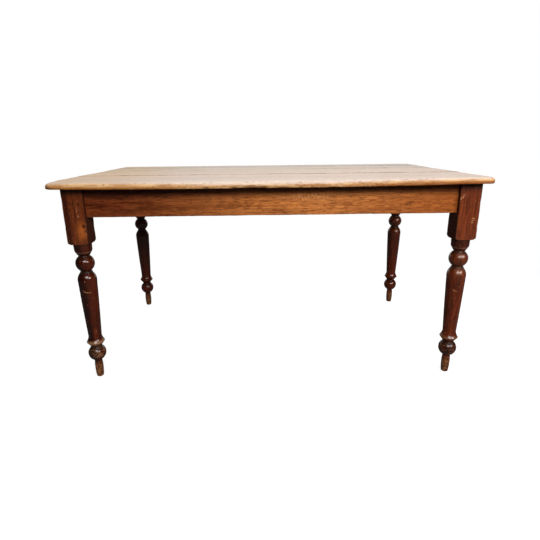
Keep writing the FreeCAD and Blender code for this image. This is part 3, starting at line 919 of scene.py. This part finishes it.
# Painted highlight, partly wear: a pale line on the collar's rim
COLLAR_RIM_GLINT = ((0.5045, 0.5065), (0.5105, 0.5085))
BALL_AND_SHOULDER = ((0.380, 0.412), (0.500, 0.490))
BULB = ((0.066, 0.076), (0.136, 0.128))
BULB_AND_RING = ((0.070, 0.085), (0.164, 0.152))
RING = (0.134, 0.142)
BARE_FOOT = (0.075, 0.045)

# Marks seen on the front of the table: where they are and how large
EDGE_STAINS = (
    ((-0.390, -0.455, 0.746), (0.005, 0.005, 0.004)),
    ((-0.214, -0.455, 0.742), (0.016, 0.007, 0.005)),
    ((-0.122, -0.454, 0.741), (0.020, 0.012, 0.008)),
    ((-0.066, -0.454, 0.741), (0.036, 0.018, 0.010)),
    ((-0.022, -0.454, 0.741), (0.030, 0.016, 0.009)),
    ((0.040, -0.454, 0.739), (0.046, 0.012, 0.007)),
    ((0.102, -0.455, 0.741), (0.010, 0.005, 0.004)),
    ((0.318, -0.455, 0.739), (0.020, 0.006, 0.004)),
    ((-0.752, -0.446, 0.742), (0.050, 0.046, 0.013)),
    ((0.752, -0.438, 0.743), (0.016, 0.016, 0.008)),
)
FRONT_RAIL_MARKS = {
    "blots": (
        ((0.476, -0.405, 0.667), (0.008, 0.006, 0.004)),
        ((0.486, -0.405, 0.671), (0.008, 0.006, 0.004)),
        ((0.496, -0.405, 0.675), (0.006, 0.005, 0.003)),
        ((-0.497, -0.405, 0.706), (0.016, 0.010, 0.006)),
        ((-0.390, -0.405, 0.704), (0.022, 0.012, 0.006)),
        ((-0.362, -0.405, 0.702), (0.014, 0.009, 0.005)),
    ),
    "scuffs": (((0.130, -0.405, 0.696), (0.150, 0.020, 0.018)),),
}
# Scratches are given by their middle, the way they bend, their radius and their length
LEG_MARKS = {
    "front_left": {
        "knots": (
            ((-0.659, -0.420, 0.682), 0.0060),
            ((-0.650, -0.420, 0.606), 0.0075),
            ((-0.645, -0.420, 0.588), 0.0050),
        ),
        "orange_and_lit": (
            ((-0.660, -0.420, 0.588), (0.022, 0.03, 0.046)),
            # Painted light: a lit orange streak low on the right of the shaft
            ((-0.667, -0.420, 0.190), (0.009, 0.03, 0.042)),
        ),
        "scuffs": (
            ((-0.668, -0.420, 0.660), (0.005, 0.008, 0.012)),
            ((-0.664, -0.420, 0.640), (0.005, 0.008, 0.008)),
            ((-0.645, -0.416, 0.576), (0.005, 0.008, 0.012)),
            ((-0.643, -0.416, 0.610), (0.004, 0.008, 0.010)),
        ),
        "scratches": (
            ((-0.675, -0.416, 0.359), (0.35, 1.0), 0.030, 0.034),
            ((-0.676, -0.416, 0.401), (1.0, 0.3), 0.004, 0.006),
        ),
        "ripple": 0.016,
        # Painted shade: the left of the block and of the turning is darker
        "block_shade": (-0.026, -0.002),
        "block_tint": colour(234, 248, 255),
        "turned_shade": (-0.006, 0.018),
        "worn_foot": 0.75,
        "collar_shade": colour(232, 230, 228),
        "varnish": 0.165,
    },
    "front_right": {
        "scuffs": (
            ((0.665, -0.420, 0.698), (0.006, 0.008, 0.007)),
            ((0.657, -0.420, 0.685), (0.005, 0.008, 0.006)),
            ((0.675, -0.415, 0.283), (0.0035, 0.008, 0.0045)),
        ),
        "scratches": (
            ((0.708, -0.420, 0.617), (-0.2, -1.0), 0.008, 0.013),
            ((0.7055, -0.420, 0.608), (1.0, -0.9), 0.030, 0.015),
            ((0.705, -0.420, 0.601), (0.1, 1.0), 0.010, 0.010),
            ((0.677, -0.415, 0.346), (0.5, 1.0), 0.014, 0.020),
            ((0.657, -0.420, 0.688), (1.0, -0.6), 0.030, 0.014),
            ((0.664, -0.420, 0.691), (1.0, -0.5), 0.030, 0.012),
        ),
        "worn_foot": 0.30,
        "bulb_tint": colour(170, 170, 176),
        "turned_tint": colour(212, 190, 152),
        "varnish": 0.235,
        "satin": 0.7,
    },
    "back_left": {},
    "back_right": {"turned_tint": colour(210, 186, 180), "varnish": 0.14, "satin": 0.6},
}


# Node trees

class Nodes:
    """A node tree written as nested calls."""

    def __init__(self, tree):
        self.tree = tree
        tree.nodes.clear()

    def node(self, kind, inputs=(), **settings):
        made = self.tree.nodes.new(kind)
        for key, value in settings.items():
            setattr(made, key, value)
        for key, value in dict(inputs).items():
            self.put(value, made.inputs[key])
        return made

    def put(self, value, socket):
        if isinstance(value, bpy.types.NodeSocket):
            self.tree.links.new(value, socket)
        else:
            socket.default_value = value

    def close(self, kind, value):
        """Ends the tree with an output node."""
        self.put(value, self.node(kind).inputs[0])

    def math(self, operation, *values):
        return self.node("ShaderNodeMath", enumerate(values), operation=operation).outputs[0]

    def times(self, first, *others):
        for other in others:
            first = self.math("MULTIPLY", first, other)
        return first

    def plus(self, base, value, share):
        """The base with a share of a value added to it."""
        return self.math("MULTIPLY_ADD", value, share, base)

    def most(self, first, second):
        return self.math("MAXIMUM", first, second)

    def vector(self, operation, *values):
        made = self.node("ShaderNodeVectorMath", enumerate(values), operation=operation)
        return made.outputs["Value" if operation == "LENGTH" else "Vector"]

    def parts(self, vector):
        return self.node("ShaderNodeSeparateXYZ", {0: vector}).outputs

    def join(self, x, y, z):
        return self.node("ShaderNodeCombineXYZ", {0: x, 1: y, 2: z}).outputs[0]

    def noise(self, vector, scale, shift, detail=2.0, rough=0.5, warp=0.0):
        place = self.vector("MULTIPLY_ADD", vector, scale, shift)
        inputs = {"Vector": place, "Scale": 1.0, "Detail": detail, "Roughness": rough, "Distortion": warp}
        return self.node("ShaderNodeTexNoise", inputs).outputs["Fac"]

    def span(self, value, low, high, new_low=0.0, new_high=1.0):
        """The value's way from low to high, eased, as a number between two others."""
        inputs = {"Value": value, "From Min": low, "From Max": high, "To Min": new_low, "To Max": new_high}
        return self.node("ShaderNodeMapRange", inputs, interpolation_type="SMOOTHSTEP").outputs[0]

    def zone(self, value, fade_in, fade_out):
        return self.times(self.span(value, *fade_in), self.span(value, *fade_out))

    def mix(self, factor, first, second, blend="MIX"):
        inputs = {0: factor, 6: first, 7: second}
        return self.node("ShaderNodeMix", data_type="RGBA", blend_type=blend, inputs=inputs).outputs[2]

    def ramp(self, value, stops):
        made = self.node("ShaderNodeValToRGB", {0: value})
        elements = made.color_ramp.elements
        while len(elements) < len(stops):
            elements.new(1.0)
        for element, (position, level) in zip(elements, stops):
            element.position = position
            element.color = grey(level)
        return made.outputs[0]

    def bump(self, height, distance):
        inputs = {"Height": height, "Distance": distance, "Strength": 1.0}
        return self.node("ShaderNodeBump", inputs).outputs[0]


class Shader(Nodes):
    """The node tree of a material, with the tone that its colour has so far."""

    def __init__(self, name):
        self.material = bpy.data.materials.new(name)
        self.material.use_nodes = True
        super().__init__(self.material.node_tree)
        self.place = self.node("ShaderNodeTexCoord").outputs["Object"]
        self.x, self.y, self.z = self.parts(self.place)
        self.tone = None

    def mask(self, name):
        return self.node("ShaderNodeAttribute", attribute_name=name).outputs["Fac"]

    def cloud(self, scale, shift=(0, 0, 0), **settings):
        return self.noise(self.place, scale, shift, **settings)

    def paint(self, tint, *shares):
        """Brings the tone nearer to a tint, by the product of the shares."""
        self.tone = self.mix(self.times(*shares), self.tone, tint)

    def glaze(self, tint, *shares):
        """Multiplies the tone by a tint, as far as the product of the shares."""
        self.tone = self.mix(self.times(*shares), self.tone, tint, "MULTIPLY")

    def away(self, centre):
        return self.vector("SUBTRACT", self.place, centre)

    def scratch(self, middle, towards, radius, length, width=0.0014):
        """Thin curved line on the front, through its middle, bending towards a direction in X and Z."""
        pull = Vector((towards[0], 0, towards[1])).normalized() * radius
        flat = self.vector("MULTIPLY", self.away(Vector(middle) + pull), (1, 0, 1))
        off = self.math("ABSOLUTE", self.math("SUBTRACT", self.vector("LENGTH", flat), radius))
        reach = self.vector("LENGTH", self.away(middle))
        line = self.span(off, 0.2 * width, width, 1.0, 0.0)
        return self.times(line, self.span(reach, 0.3 * length, 0.55 * length, 1.0, 0.0))

    def spot(self, centre, size, ragged):
        """Blot round a point, of some size along X, Y and Z, with a ragged, soft edge."""
        reach = self.vector("LENGTH", self.vector("DIVIDE", self.away(centre), size))
        return self.span(self.math("ADD", ragged, reach), 0.5, 1.6, 1.0, 0.0)

    def surface(self, **inputs):
        """Closes the material with a principled surface of its tone."""
        made = self.node("ShaderNodeBsdfPrincipled", {"Base Color": self.tone})
        for key, value in inputs.items():
            self.put(value, made.inputs[key.replace("_", " ").title().replace("Ior", "IOR")])
        self.close("ShaderNodeOutputMaterial", made.outputs[0])
        return self.material


class Wood(Shader):
    """Growth rings, fibres and flecks of one timber, read through its solid."""

    def __init__(self, name, along, seed, pith, lean, spacing, knots=(), ripple=0.0):
        super().__init__(name)
        self.along = along
        self.seed = seed
        x, y, z = self.x, self.y, self.z
        s, p, q = {"x": (x, y, z), "y": (y, x, z), "z": (z, x, y)}[along]
        self.grain = self.join(s, p, q)
        quick = self.lengthways(9.0, 60.0)
        off_p = self.math("ADD", p, self.plus(-pith[0], s, lean[0]))
        off_q = self.math("ADD", q, self.plus(-pith[1], s, lean[1]))
        far = self.vector("LENGTH", self.join(0.0, off_p, off_q))
        far = self.plus(far, self.lengthways(1.1, 7.0), 0.055)
        far = self.plus(far, quick, 0.004)
        if ripple:
            far = self.plus(far, self.lengthways(24.0, 34.0), ripple)
        self.knot = None
        for centre, size in knots:
            reach = self.vector("LENGTH", self.away(centre))
            far = self.plus(far, self.span(reach, 0.0, 6.0 * size, 1.0, 0.0), 4.0 * size)
            core = self.span(self.plus(reach, quick, 0.8 * size), 0.6 * size, 1.5 * size, 1.0, 0.0)
            self.knot = core if self.knot is None else self.most(self.knot, core)
        phase = self.math("DIVIDE", far, spacing)
        ring = self.math("FLOOR", phase)
        each = self.node("ShaderNodeTexWhiteNoise", {"W": ring}, noise_dimensions="1D").outputs["Value"]
        late = self.ramp(self.math("FRACT", phase), ((0.0, 0.0), (0.45, 0.12), (0.86, 1.0), (0.97, 0.0)))
        self.late = self.times(late, self.plus(0.35, each, 0.65))
        self.fibre = self.lengthways(14.0, 900.0, detail=3.0, rough=0.65)
        self.streak = self.span(self.lengthways(3.0, 130.0), 0.3, 0.7)
        self.dash = self.span(self.lengthways(30.0, 400.0, detail=3.0, rough=0.6), 0.53, 0.63)
        self.figure = self.span(self.lengthways(7.0, 80.0, detail=4.0, rough=0.65, warp=0.4), 0.44, 0.62)
        self.fleck = self.span(self.lengthways(55.0, 700.0, detail=1.0), 0.66, 0.76)
        self.broad = self.lengthways(2.2, 9.0, detail=3.0)

    def lengthways(self, along, across, **settings):
        """Noise with one scale along the grain and another across it."""
        shift = (self.seed * 3.7, self.seed * 1.9, self.seed * 5.3)
        return self.noise(self.grain, (along, across, across), shift, **settings)


# Scrubbed top

def scrubbed_pine(number):
    """Pale scrubbed pine, its pinkish pallor partly a painted sheen, golden on the rounded edge, with grime
    in the joints.
    """
    low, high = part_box("top_board_%d" % number)
    pith_across, pith_under, lean, tint = BOARD_TIMBERS[number - 1]
    pith = ((low.y + high.y) / 2 + pith_across, TOP_LOW.z - pith_under)
    wood = Wood("scrubbed_pine_%d" % number, "x", number, pith, (lean, BOARD_LEAN), BOARD_RINGS)
    # The pale, pinkish tone is partly scrubbed pine and partly a painted sheen
    wood.tone = wood.mix(wood.late, colour(233, 217, 205), colour(209, 186, 169))
    wood.paint(colour(216, 193, 176), wood.streak, 0.4)
    wood.paint(colour(214, 199, 189), wood.span(wood.broad, 0.42, 0.72, 0.0, 0.5))
    wood.paint(colour(184, 154, 132), wood.dash, 0.3)
    wood.paint(colour(190, 161, 138), wood.span(wood.fibre, 0.35, 0.75, 0.0, 0.35))
    wood.glaze(tint, 1.0)
    wood.glaze(colour(253, 244, 228), wood.span(wood.x, *YELLOWED_LEFT))
    wood.paint(colour(128, 92, 66), wood.fleck, 0.5)
    nose = wood.mask("nose")
    height = wood.mask("height")
    gild_nosing(wood, nose, height)
    dirty_joints(wood, number)
    bare = wood.mix(wood.late, colour(176, 130, 84), colour(134, 90, 52))
    wood.paint(bare, wood.span(height, 0.06, 0.0))
    polish = wood.times(wood.span(nose, 0.35, 0.95, 0.0, 0.6), wood.span(wood.x, *POLISHED_NOSE, 1.0, 0.5))
    return wood.surface(
        roughness=wood.span(wood.broad, 0.3, 0.7, 0.60, 0.75),
        normal=wood.bump(wood.plus(wood.late, wood.fibre, 0.5), 0.00012),
        specular_ior_level=0.0,
        coat_weight=polish,
        coat_roughness=0.32,
    )


def gild_nosing(wood, nose, height):
    """Golden, handled wood on the rounded edge, paler above with painted sheen, browner below with painted
    shade and grime, with pale flecks, grime and stains.
    """
    x = wood.x
    patch = wood.cloud((14.0, 30.0, 60.0), detail=4.0, rough=0.6)
    rub = wood.cloud((75.0, 75.0, 210.0), detail=3.0, rough=0.6)
    golden = wood.mix(wood.late, colour(214, 170, 116), colour(186, 130, 74))
    golden = wood.mix(wood.span(patch, 0.44, 0.66, 0.0, 0.7), golden, colour(158, 100, 46))
    scrubbed = wood.times(wood.span(x, *PALE_NOSE_LEFT, 0.0, 0.22), wood.span(x, *PALE_NOSE_RIGHT, 0.2, 1.0))
    # Painted sheen: the upper part of the rounded edge keeps the top's pale tone, and only its lower part
    # turns golden
    wood.paint(golden, nose, wood.span(wood.math("ADD", height, scrubbed), 0.99, 0.66, 0.12, 0.95))
    ends = wood.most(wood.span(x, *BROWN_NOSE_RIGHT, 0.50, 0.85), wood.span(x, *BROWN_NOSE_LEFT, 0.50, 1.0))
    # Painted shade with some grime: the underside of the rounded edge turns browner, most towards the ends
    wood.paint(colour(146, 84, 22), nose, wood.span(height, 0.62, 0.10), ends)
    flecked = wood.times(wood.span(x, *FLECKED_NOSE_RIGHT), wood.span(x, *FLECKED_NOSE_LEFT, 0.15, 0.5))
    wood.paint(colour(240, 214, 180), nose, wood.span(rub, 0.56, 0.68), flecked)
    wood.paint(colour(106, 62, 32), nose, wood.span(rub, 0.42, 0.30), 0.75)
    wood.glaze(colour(226, 200, 182), nose, wood.span(height, 0.75, 0.35), wood.span(x, *PINK_NOSE_RIGHT))
    for (stain_x, stain_y, stain_z), size in EDGE_STAINS:
        centre = (stain_x, stain_y, stain_z - float(droop(stain_x, stain_y)))
        wood.paint(colour(82, 42, 18), nose, wood.spot(centre, size, patch), 0.8)


def dirty_joints(wood, number):
    """Dirt packed in the joints, and spread from them here and there."""
    seam = wood.mask("seam")
    gaps = wood.cloud((5.0, 9.0, 1.0), (number, 0, 0), detail=3.0, rough=0.6)
    crumbs = wood.cloud((60.0, 160.0, 1.0), (number, 3, 0), detail=3.0, rough=0.6)
    spread = wood.times(wood.span(gaps, 0.40, 0.60), wood.span(crumbs, 0.36, 0.58, 0.25, 1.0))
    wood.paint(colour(116, 86, 64), wood.math("POWER", seam, 3.5), spread, 0.75)
    packed = wood.times(wood.span(crumbs, 0.34, 0.56, 0.35, 1.0), wood.span(gaps, 0.36, 0.58, 0.35, 0.9))
    wood.paint(colour(66, 44, 30), wood.math("POWER", seam, 18.0), packed)


# Stained frame

def rail_stain(name, seed):
    low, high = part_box("rail_" + name)
    middle = (low + high) / 2
    is_long = name in LONG_RAILS
    pith = ((middle.y if is_long else middle.x) + RAIL_PITH[0], middle.z + RAIL_PITH[1])
    along, ripple = ("x", RAIL_RIPPLE) if is_long else ("y", 0.0)
    wood = Wood("rail_stain_" + name, along, seed, pith, RAIL_LEAN, RAIL_RINGS, ripple=ripple)
    stain = LONG_RAIL_STAIN if is_long else SHORT_RAIL_STAIN
    return stained_wood(wood, stain, RAIL_GLOSS, FRONT_RAIL_MARKS if name == "front" else {})


def leg_stain(name, sign_x, sign_y, seed):
    marks = LEG_MARKS[name]
    axis_x = FRAME_X + sign_x * LEG_X
    pith = (axis_x + LEG_PITH[0], sign_y * LEG_Y + LEG_PITH[1])
    knots = marks.get("knots", ())
    ripple = marks.get("ripple", 0.0)
    wood = Wood("leg_stain_" + name, "z", seed, pith, LEG_LEAN, LEG_RINGS, knots, ripple)
    return stained_wood(wood, LEG_STAIN, LEG_GLOSS, marks, axis_x)


def stained_wood(wood, stain, gloss, marks, leg_axis=None):
    """Pine stained like mahogany and varnished, rubbed through to lighter wood on its edges."""
    is_leg = leg_axis is not None
    patch = wood.cloud((22.0,) * 3, (wood.seed,) * 3, detail=5.0, rough=0.6)
    stain_grain(wood, stain, patch)
    # Orange figure in the wood, and on the front left shaft a painted lit streak
    for centre, size in marks.get("orange_and_lit", ()):
        between_dashes = wood.span(wood.dash, 1.0, 0.0, 0.2, 0.75)
        wood.paint(colour(196, 98, 36), wood.spot(centre, size, patch), between_dashes)
    if is_leg:
        tint_leg(wood, patch, marks, leg_axis)
    soil(wood, patch, marks)
    scrape(wood, patch, marks, is_leg)
    satin = 0.0
    if is_leg:
        bare_foot(wood, patch)
        inner = wood.mask("inner")
        # Painted shade: the inner faces of the block are darkened
        wood.paint(colour(38, 18, 12), inner, 0.6)
        gloss = wood.times(wood.plus(gloss, inner, -0.8 * gloss), wood.span(patch, 0.35, 0.7, 1.08, 0.80))
        satin = wood.times(wood.zone(wood.z, *BALL_AND_SHOULDER), marks.get("satin", 0.0))
    return wood.surface(
        roughness=wood.span(patch, 0.3, 0.7, 0.42, 0.55),
        normal=wood.bump(wood.plus(wood.late, wood.fibre, 0.6), 0.00010),
        specular_ior_level=satin,
        specular_tint=SHEEN_TINT,
        coat_weight=gloss,
        coat_roughness=marks.get("varnish", VARNISH),
    )


def stain_grain(wood, stain, patch):
    """Stain that has taken unevenly over the grain; on a long rail, a darker left end that is partly painted
    shade.
    """
    figured = wood.span(wood.x, *FIGURED_RAIL, 1.0, 0.30) if wood.along == "x" else 0.6
    wood.tone = wood.mix(wood.late, stain.early, stain.late)
    wood.paint(stain.late, wood.span(wood.streak, 0.2, 0.9, 0.0, 0.45))
    wood.paint(stain.figure, wood.figure, figured)
    wood.paint(stain.late, wood.span(wood.broad, 0.40, 0.70, 0.0, 0.55))
    wood.paint(stain.pores, wood.dash, 0.4 if wood.along == "z" else 0.7)
    wood.paint(stain.pores, wood.span(wood.fibre, 0.40, 0.72, 0.0, 0.5))
    wood.paint(stain.pores, wood.fleck, 0.8)
    if wood.along == "x":
        # Painted shade, partly stain: a long rail turns darker towards its left end
        wood.glaze(stain.left_tint, wood.span(wood.plus(wood.x, patch, 0.35), *DARK_RAIL_LEFT))
        wood.glaze(stain.right_tint, wood.span(wood.plus(wood.x, patch, 0.2), *DULL_RAIL_RIGHT))


def tint_leg(wood, patch, marks, leg_axis):
    """Tints of a leg's block and turning, with painted shade on one side and under the block, and a painted
    highlight line.
    """
    z = wood.z
    turned = wood.span(z, *TURNED_PART)
    block = wood.math("SUBTRACT", 1.0, turned)
    across = wood.plus(wood.math("SUBTRACT", wood.x, leg_axis + 0.008), patch, 0.016)
    # Painted shade: darker on the left of the block and of the turning, where a leg has these marks
    if "block_shade" in marks:
        wood.glaze(colour(136, 116, 116), block, wood.span(across, *marks["block_shade"], 0.8, 0.0))
    if "turned_shade" in marks:
        wood.glaze(colour(150, 136, 140), turned, wood.span(across, *marks["turned_shade"], 1.0, 0.0))
    wood.glaze(marks.get("turned_tint", TURNED_TINT), turned)
    # Painted shade: the collar darkens under the block
    wood.glaze(marks.get("collar_shade", COLLAR_SHADE), turned, wood.span(z, *COLLAR))
    # Painted highlight, partly wear: a pale line round the collar's rim
    wood.paint(colour(150, 100, 76), wood.zone(z, *COLLAR_RIM_GLINT), wood.span(patch, 0.36, 0.56, 0.1, 0.6))
    if "block_tint" in marks:
        wood.glaze(marks["block_tint"], block)
    if "bulb_tint" in marks:
        wood.glaze(marks["bulb_tint"], wood.zone(z, *BULB))
    if "worn_foot" in marks:
        rub = wood.cloud((60.0, 60.0, 130.0), (wood.seed, 1, 4), detail=4.0, rough=0.65)
        ring = wood.span(z, *RING, 0.0, 1.2 * marks["worn_foot"])
        worn = wood.most(wood.span(rub, 0.46, 0.64, 0.0, marks["worn_foot"]), ring)
        wood.paint(colour(146, 104, 74), wood.zone(z, *BULB_AND_RING), worn)


def soil(wood, patch, marks):
    """Knots and blots, edges rubbed pale, and painted shade under the top and in hollows."""
    if wood.knot is not None:
        wood.paint(colour(34, 15, 8), wood.knot, 0.85)
    for centre, size in marks.get("blots", ()):
        wood.paint(colour(52, 26, 13), wood.spot(centre, size, patch), 0.75)
    wood.paint(colour(134, 82, 48), wood.mask("wear"), wood.span(patch, 0.42, 0.64), 0.4)
    # Painted shade: near-black brown under the top and in hollows
    wood.paint(colour(38, 19, 12), wood.mask("painted_shade"), 0.75)


def scrape(wood, patch, marks, is_leg):
    """Nicks, scratches and scuffs that show lighter wood."""
    nick = wood.cloud((90.0, 90.0, 60.0), (wood.seed, 2, 3), warp=2.5)
    scraped = wood.span(nick, 0.735, 0.775, 0.0, 0.6)
    if is_leg:
        speck = wood.cloud((210.0, 210.0, 150.0), (wood.seed, 5, 7), detail=1.0)
        scraped = wood.most(scraped, wood.span(speck, 0.70, 0.78, 0.0, 0.6))
    for scratch in marks.get("scratches", ()):
        scraped = wood.most(scraped, wood.times(wood.scratch(*scratch), wood.span(nick, 0.36, 0.5, 0.6, 1.7)))
    for centre, size in marks.get("scuffs", ()):
        scraped = wood.most(scraped, wood.times(wood.spot(centre, size, patch), wood.span(nick, 0.45, 0.6)))
    wood.paint(colour(206, 146, 96), scraped, 0.5)


def bare_foot(wood, patch):
    """Foot with its stain worn off, speckled."""
    speckle = wood.cloud((190.0, 190.0, 130.0), detail=3.0)
    foot = wood.mix(wood.span(speckle, 0.40, 0.62), colour(70, 38, 20), colour(136, 87, 50))
    wood.paint(foot, wood.span(wood.z, *BARE_FOOT), wood.span(patch, 0.25, 0.55, 0.55, 1.0))


# Pieces that keep their CAD shape

def bare_pine(name, along, seed):
    """Unfinished pine that has gone brown out of sight, with saw marks across it."""
    wood = Wood(name, along, seed, BARE_PITH, BARE_LEAN, BARE_RINGS)
    wood.tone = wood.mix(wood.late, colour(186, 138, 88), colour(140, 94, 54))
    wood.paint(colour(120, 80, 46), wood.span(wood.fibre, 0.4, 0.7, 0.0, 0.4))
    wood.paint(colour(110, 74, 44), wood.span(wood.broad, 0.4, 0.7, 0.0, 0.5))
    saw = wood.node("ShaderNodeTexWave", {"Vector": wood.grain, "Scale": 90.0, "Distortion": 3.0})
    return wood.surface(
        roughness=wood.span(wood.fibre, 0.3, 0.7, 0.65, 0.85),
        normal=wood.bump(wood.plus(wood.fibre, saw.outputs["Fac"], 0.6), 0.00020),
        specular_ior_level=0.3,
    )


def peg_wood():
    """End grain of the pegs, stained with the legs."""
    shader = Shader("peg_wood")
    pores = shader.cloud((900.0,) * 3)
    shader.tone = shader.mix(shader.span(pores, 0.4, 0.65), colour(112, 50, 24), colour(84, 36, 17))
    rough = shader.span(pores, 0.3, 0.7, 0.50, 0.70)
    return shader.surface(roughness=rough, normal=shader.bump(pores, 0.0001), specular_ior_level=0.2)


def nail_iron():
    """Old black iron with rust."""
    shader = Shader("nail_iron")
    blotch = shader.cloud((600.0,) * 3, detail=4.0)
    shader.tone = shader.mix(shader.span(blotch, 0.42, 0.62), colour(40, 36, 34), colour(92, 52, 32))
    rough = shader.span(blotch, 0.35, 0.65, 0.45, 0.8)
    return shader.surface(roughness=rough, normal=shader.bump(blotch, 0.0002), metallic=0.6)


def dress_nodes(first_part, names, material):
    """Gives CAD nodes a material and softens their edges."""
    for name in names:
        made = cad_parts[first_part + name]
        made.data.materials.clear()
        made.data.materials.append(material)
        soften = made.modifiers.new("soften", "BEVEL")
        soften.width = SOFT_EDGE
        soften.segments = 2
        soften.limit_method = "ANGLE"


def build_table():
    for number in range(1, BOARD_COUNT + 1):
        finish_piece(board(number), "top_board_%d" % number, scrubbed_pine(number))
    for seed, name in enumerate(LONG_RAILS + SHORT_RAILS, 20):
        finish_piece(rail(name, seed), "rail_" + name, rail_stain(name, seed))
    for seed, (name, signs) in enumerate(LEG_SIGNS.items(), 40):
        finish_piece(leg(name, *signs, seed), "leg_" + name, leg_stain(name, *signs, seed))
    dress_nodes("pegs_", LEG_SIGNS, peg_wood())
    dress_nodes("nails_", NAIL_ROWS, nail_iron())
    along_x = bare_pine("bare_pine_x", "x", 61)
    along_y = bare_pine("bare_pine_y", "y", 62)
    dress_nodes("loose_tongue_", [str(number) for number in range(1, BOARD_COUNT)], along_x)
    dress_nodes("glue_blocks_", LONG_RAILS, along_x)
    dress_nodes("glue_blocks_", SHORT_RAILS, along_y)
    dress_nodes("", ["cross_bearer"], along_y)


# Stage, light and camera

FLOOR_HALF = 9.0
# The floor near the table, the light it adds to look white, and the distances over which it turns plain white
FLOOR_GREY = 0.42
FLOOR_GLOW = 0.80
FLOOR_FADE = (0.9, 2.2)
# The floor as the table sees it
FLOOR_DULL = 0.14
# Light of the room, in all and as far as it is mirrored, and where the white wall behind the table fades out
ROOM_LIGHT = 0.14
ROOM_MIRRORED = 0.03
WALL_SIDES = (0.35, 0.85)
WALL_TOP = (0.55, 0.20)
# Lamps as (place, aim, width, height, watts, whether the varnish mirrors it)
LAMPS = {
    "window_front": ((0.4, -3.4, 2.25), (0.0, -0.3, 0.6), 2.2, 1.0, 90, True),
    "window_right": ((2.4, -2.6, 1.80), (0.0, -0.3, 0.6), 1.5, 0.8, 56, True),
    "overhead": ((0.2, 0.0, 3.0), (0, 0, 0.7), 2.6, 2.0, 35, True),
    "fill_back": ((-0.6, 3.4, 1.4), (0, 0, 0.6), 3.0, 1.4, 40, False),
}
CAMERA_PLACE = (-0.0320, -1.8811, 0.8829)
CAMERA_YAW = 0.263
CAMERA_PITCH = 16.858
CAMERA_ROLL = -0.676
IMAGE_SIZE = 540
FOCAL_PIXELS = 424.23
CENTRE_PIXEL = (263.83, 269.61)
SENSOR = 36.0


def build_floor():
    """Pale floor that keeps a faint shadow near the table and is plain white further out."""
    corners = [(-FLOOR_HALF, -FLOOR_HALF, 0), (FLOOR_HALF, -FLOOR_HALF, 0)]
    corners += [(FLOOR_HALF, FLOOR_HALF, 0), (-FLOOR_HALF, FLOOR_HALF, 0)]
    piece = add_object("floor", corners, [(0, 1, 2, 3)])
    shader = Shader("floor")

    def made(kind, inputs=()):
        return shader.node("ShaderNode" + kind, inputs).outputs[0]

    matt = made("BsdfDiffuse", {"Color": grey(FLOOR_GREY)})
    glow = made("Emission", {"Color": grey(1.0), "Strength": FLOOR_GLOW})
    near = made("AddShader", {0: matt, 1: glow})
    white = made("Emission", {"Color": grey(1.0), "Strength": 1.0})
    far = shader.span(shader.vector("LENGTH", shader.join(shader.x, shader.y, 0.0)), *FLOOR_FADE)
    seen = made("MixShader", {0: far, 1: near, 2: white})
    dull = made("BsdfDiffuse", {"Color": grey(FLOOR_DULL)})
    from_camera = shader.node("ShaderNodeLightPath").outputs["Is Camera Ray"]
    lit = made("MixShader", {0: from_camera, 1: dull, 2: seen})
    back = shader.node("ShaderNodeNewGeometry").outputs["Backfacing"]
    shader.close("ShaderNodeOutputMaterial", made("MixShader", {0: back, 1: lit, 2: made("BsdfTransparent")}))
    piece.data.materials.append(shader.material)


def build_world():
    """Dim room, white to the camera, with a white wall low behind the table for its top to reflect."""
    world = bpy.data.worlds.new("studio")
    bpy.context.scene.world = world
    world.use_nodes = True
    nodes = Nodes(world.node_tree)
    path = nodes.node("ShaderNodeLightPath").outputs
    level = nodes.plus(ROOM_LIGHT, path["Is Glossy Ray"], ROOM_MIRRORED - ROOM_LIGHT)
    dim = nodes.node("ShaderNodeBackground", {"Color": grey(1.0), "Strength": level}).outputs[0]
    white = nodes.node("ShaderNodeBackground", {"Color": grey(1.0), "Strength": 1.0}).outputs[0]
    x, y, z = nodes.parts(nodes.node("ShaderNodeTexCoord").outputs["Generated"])
    wall = nodes.times(nodes.span(y, *WALL_SIDES), nodes.span(z, *WALL_TOP))
    shown = nodes.most(path["Is Camera Ray"], nodes.times(path["Is Glossy Ray"], wall))
    room = nodes.node("ShaderNodeMixShader", {0: shown, 1: dim, 2: white}).outputs[0]
    nodes.close("ShaderNodeOutputWorld", room)


def build_lights():
    for name, (place, aim, width, height, power, is_mirrored) in LAMPS.items():
        lamp = bpy.data.lights.new(name, "AREA")
        lamp.shape = "RECTANGLE"
        lamp.size = width
        lamp.size_y = height
        lamp.energy = power
        made = bpy.data.objects.new(name, lamp)
        bpy.context.collection.objects.link(made)
        made.visible_glossy = is_mirrored
        made.location = place
        made.rotation_euler = (Vector(aim) - Vector(place)).to_track_quat("-Z", "Y").to_euler()


def build_camera():
    lens = bpy.data.cameras.new("camera")
    lens.sensor_width = SENSOR
    lens.lens = FOCAL_PIXELS * SENSOR / IMAGE_SIZE
    lens.shift_x = (IMAGE_SIZE / 2 - CENTRE_PIXEL[0]) / IMAGE_SIZE
    lens.shift_y = (CENTRE_PIXEL[1] - IMAGE_SIZE / 2) / IMAGE_SIZE
    made = bpy.data.objects.new("camera", lens)
    bpy.context.collection.objects.link(made)
    turn = Matrix.Rotation(math.radians(-CAMERA_YAW), 4, "Z")
    turn = turn @ Matrix.Rotation(math.radians(90 - CAMERA_PITCH), 4, "X")
    turn = turn @ Matrix.Rotation(math.radians(CAMERA_ROLL), 4, "Z")
    made.matrix_world = Matrix.Translation(CAMERA_PLACE) @ turn
    bpy.context.scene.camera = made


build_table()
build_floor()
build_world()
build_lights()
build_camera()
bpy.context.scene.view_settings.view_transform = "Standard"
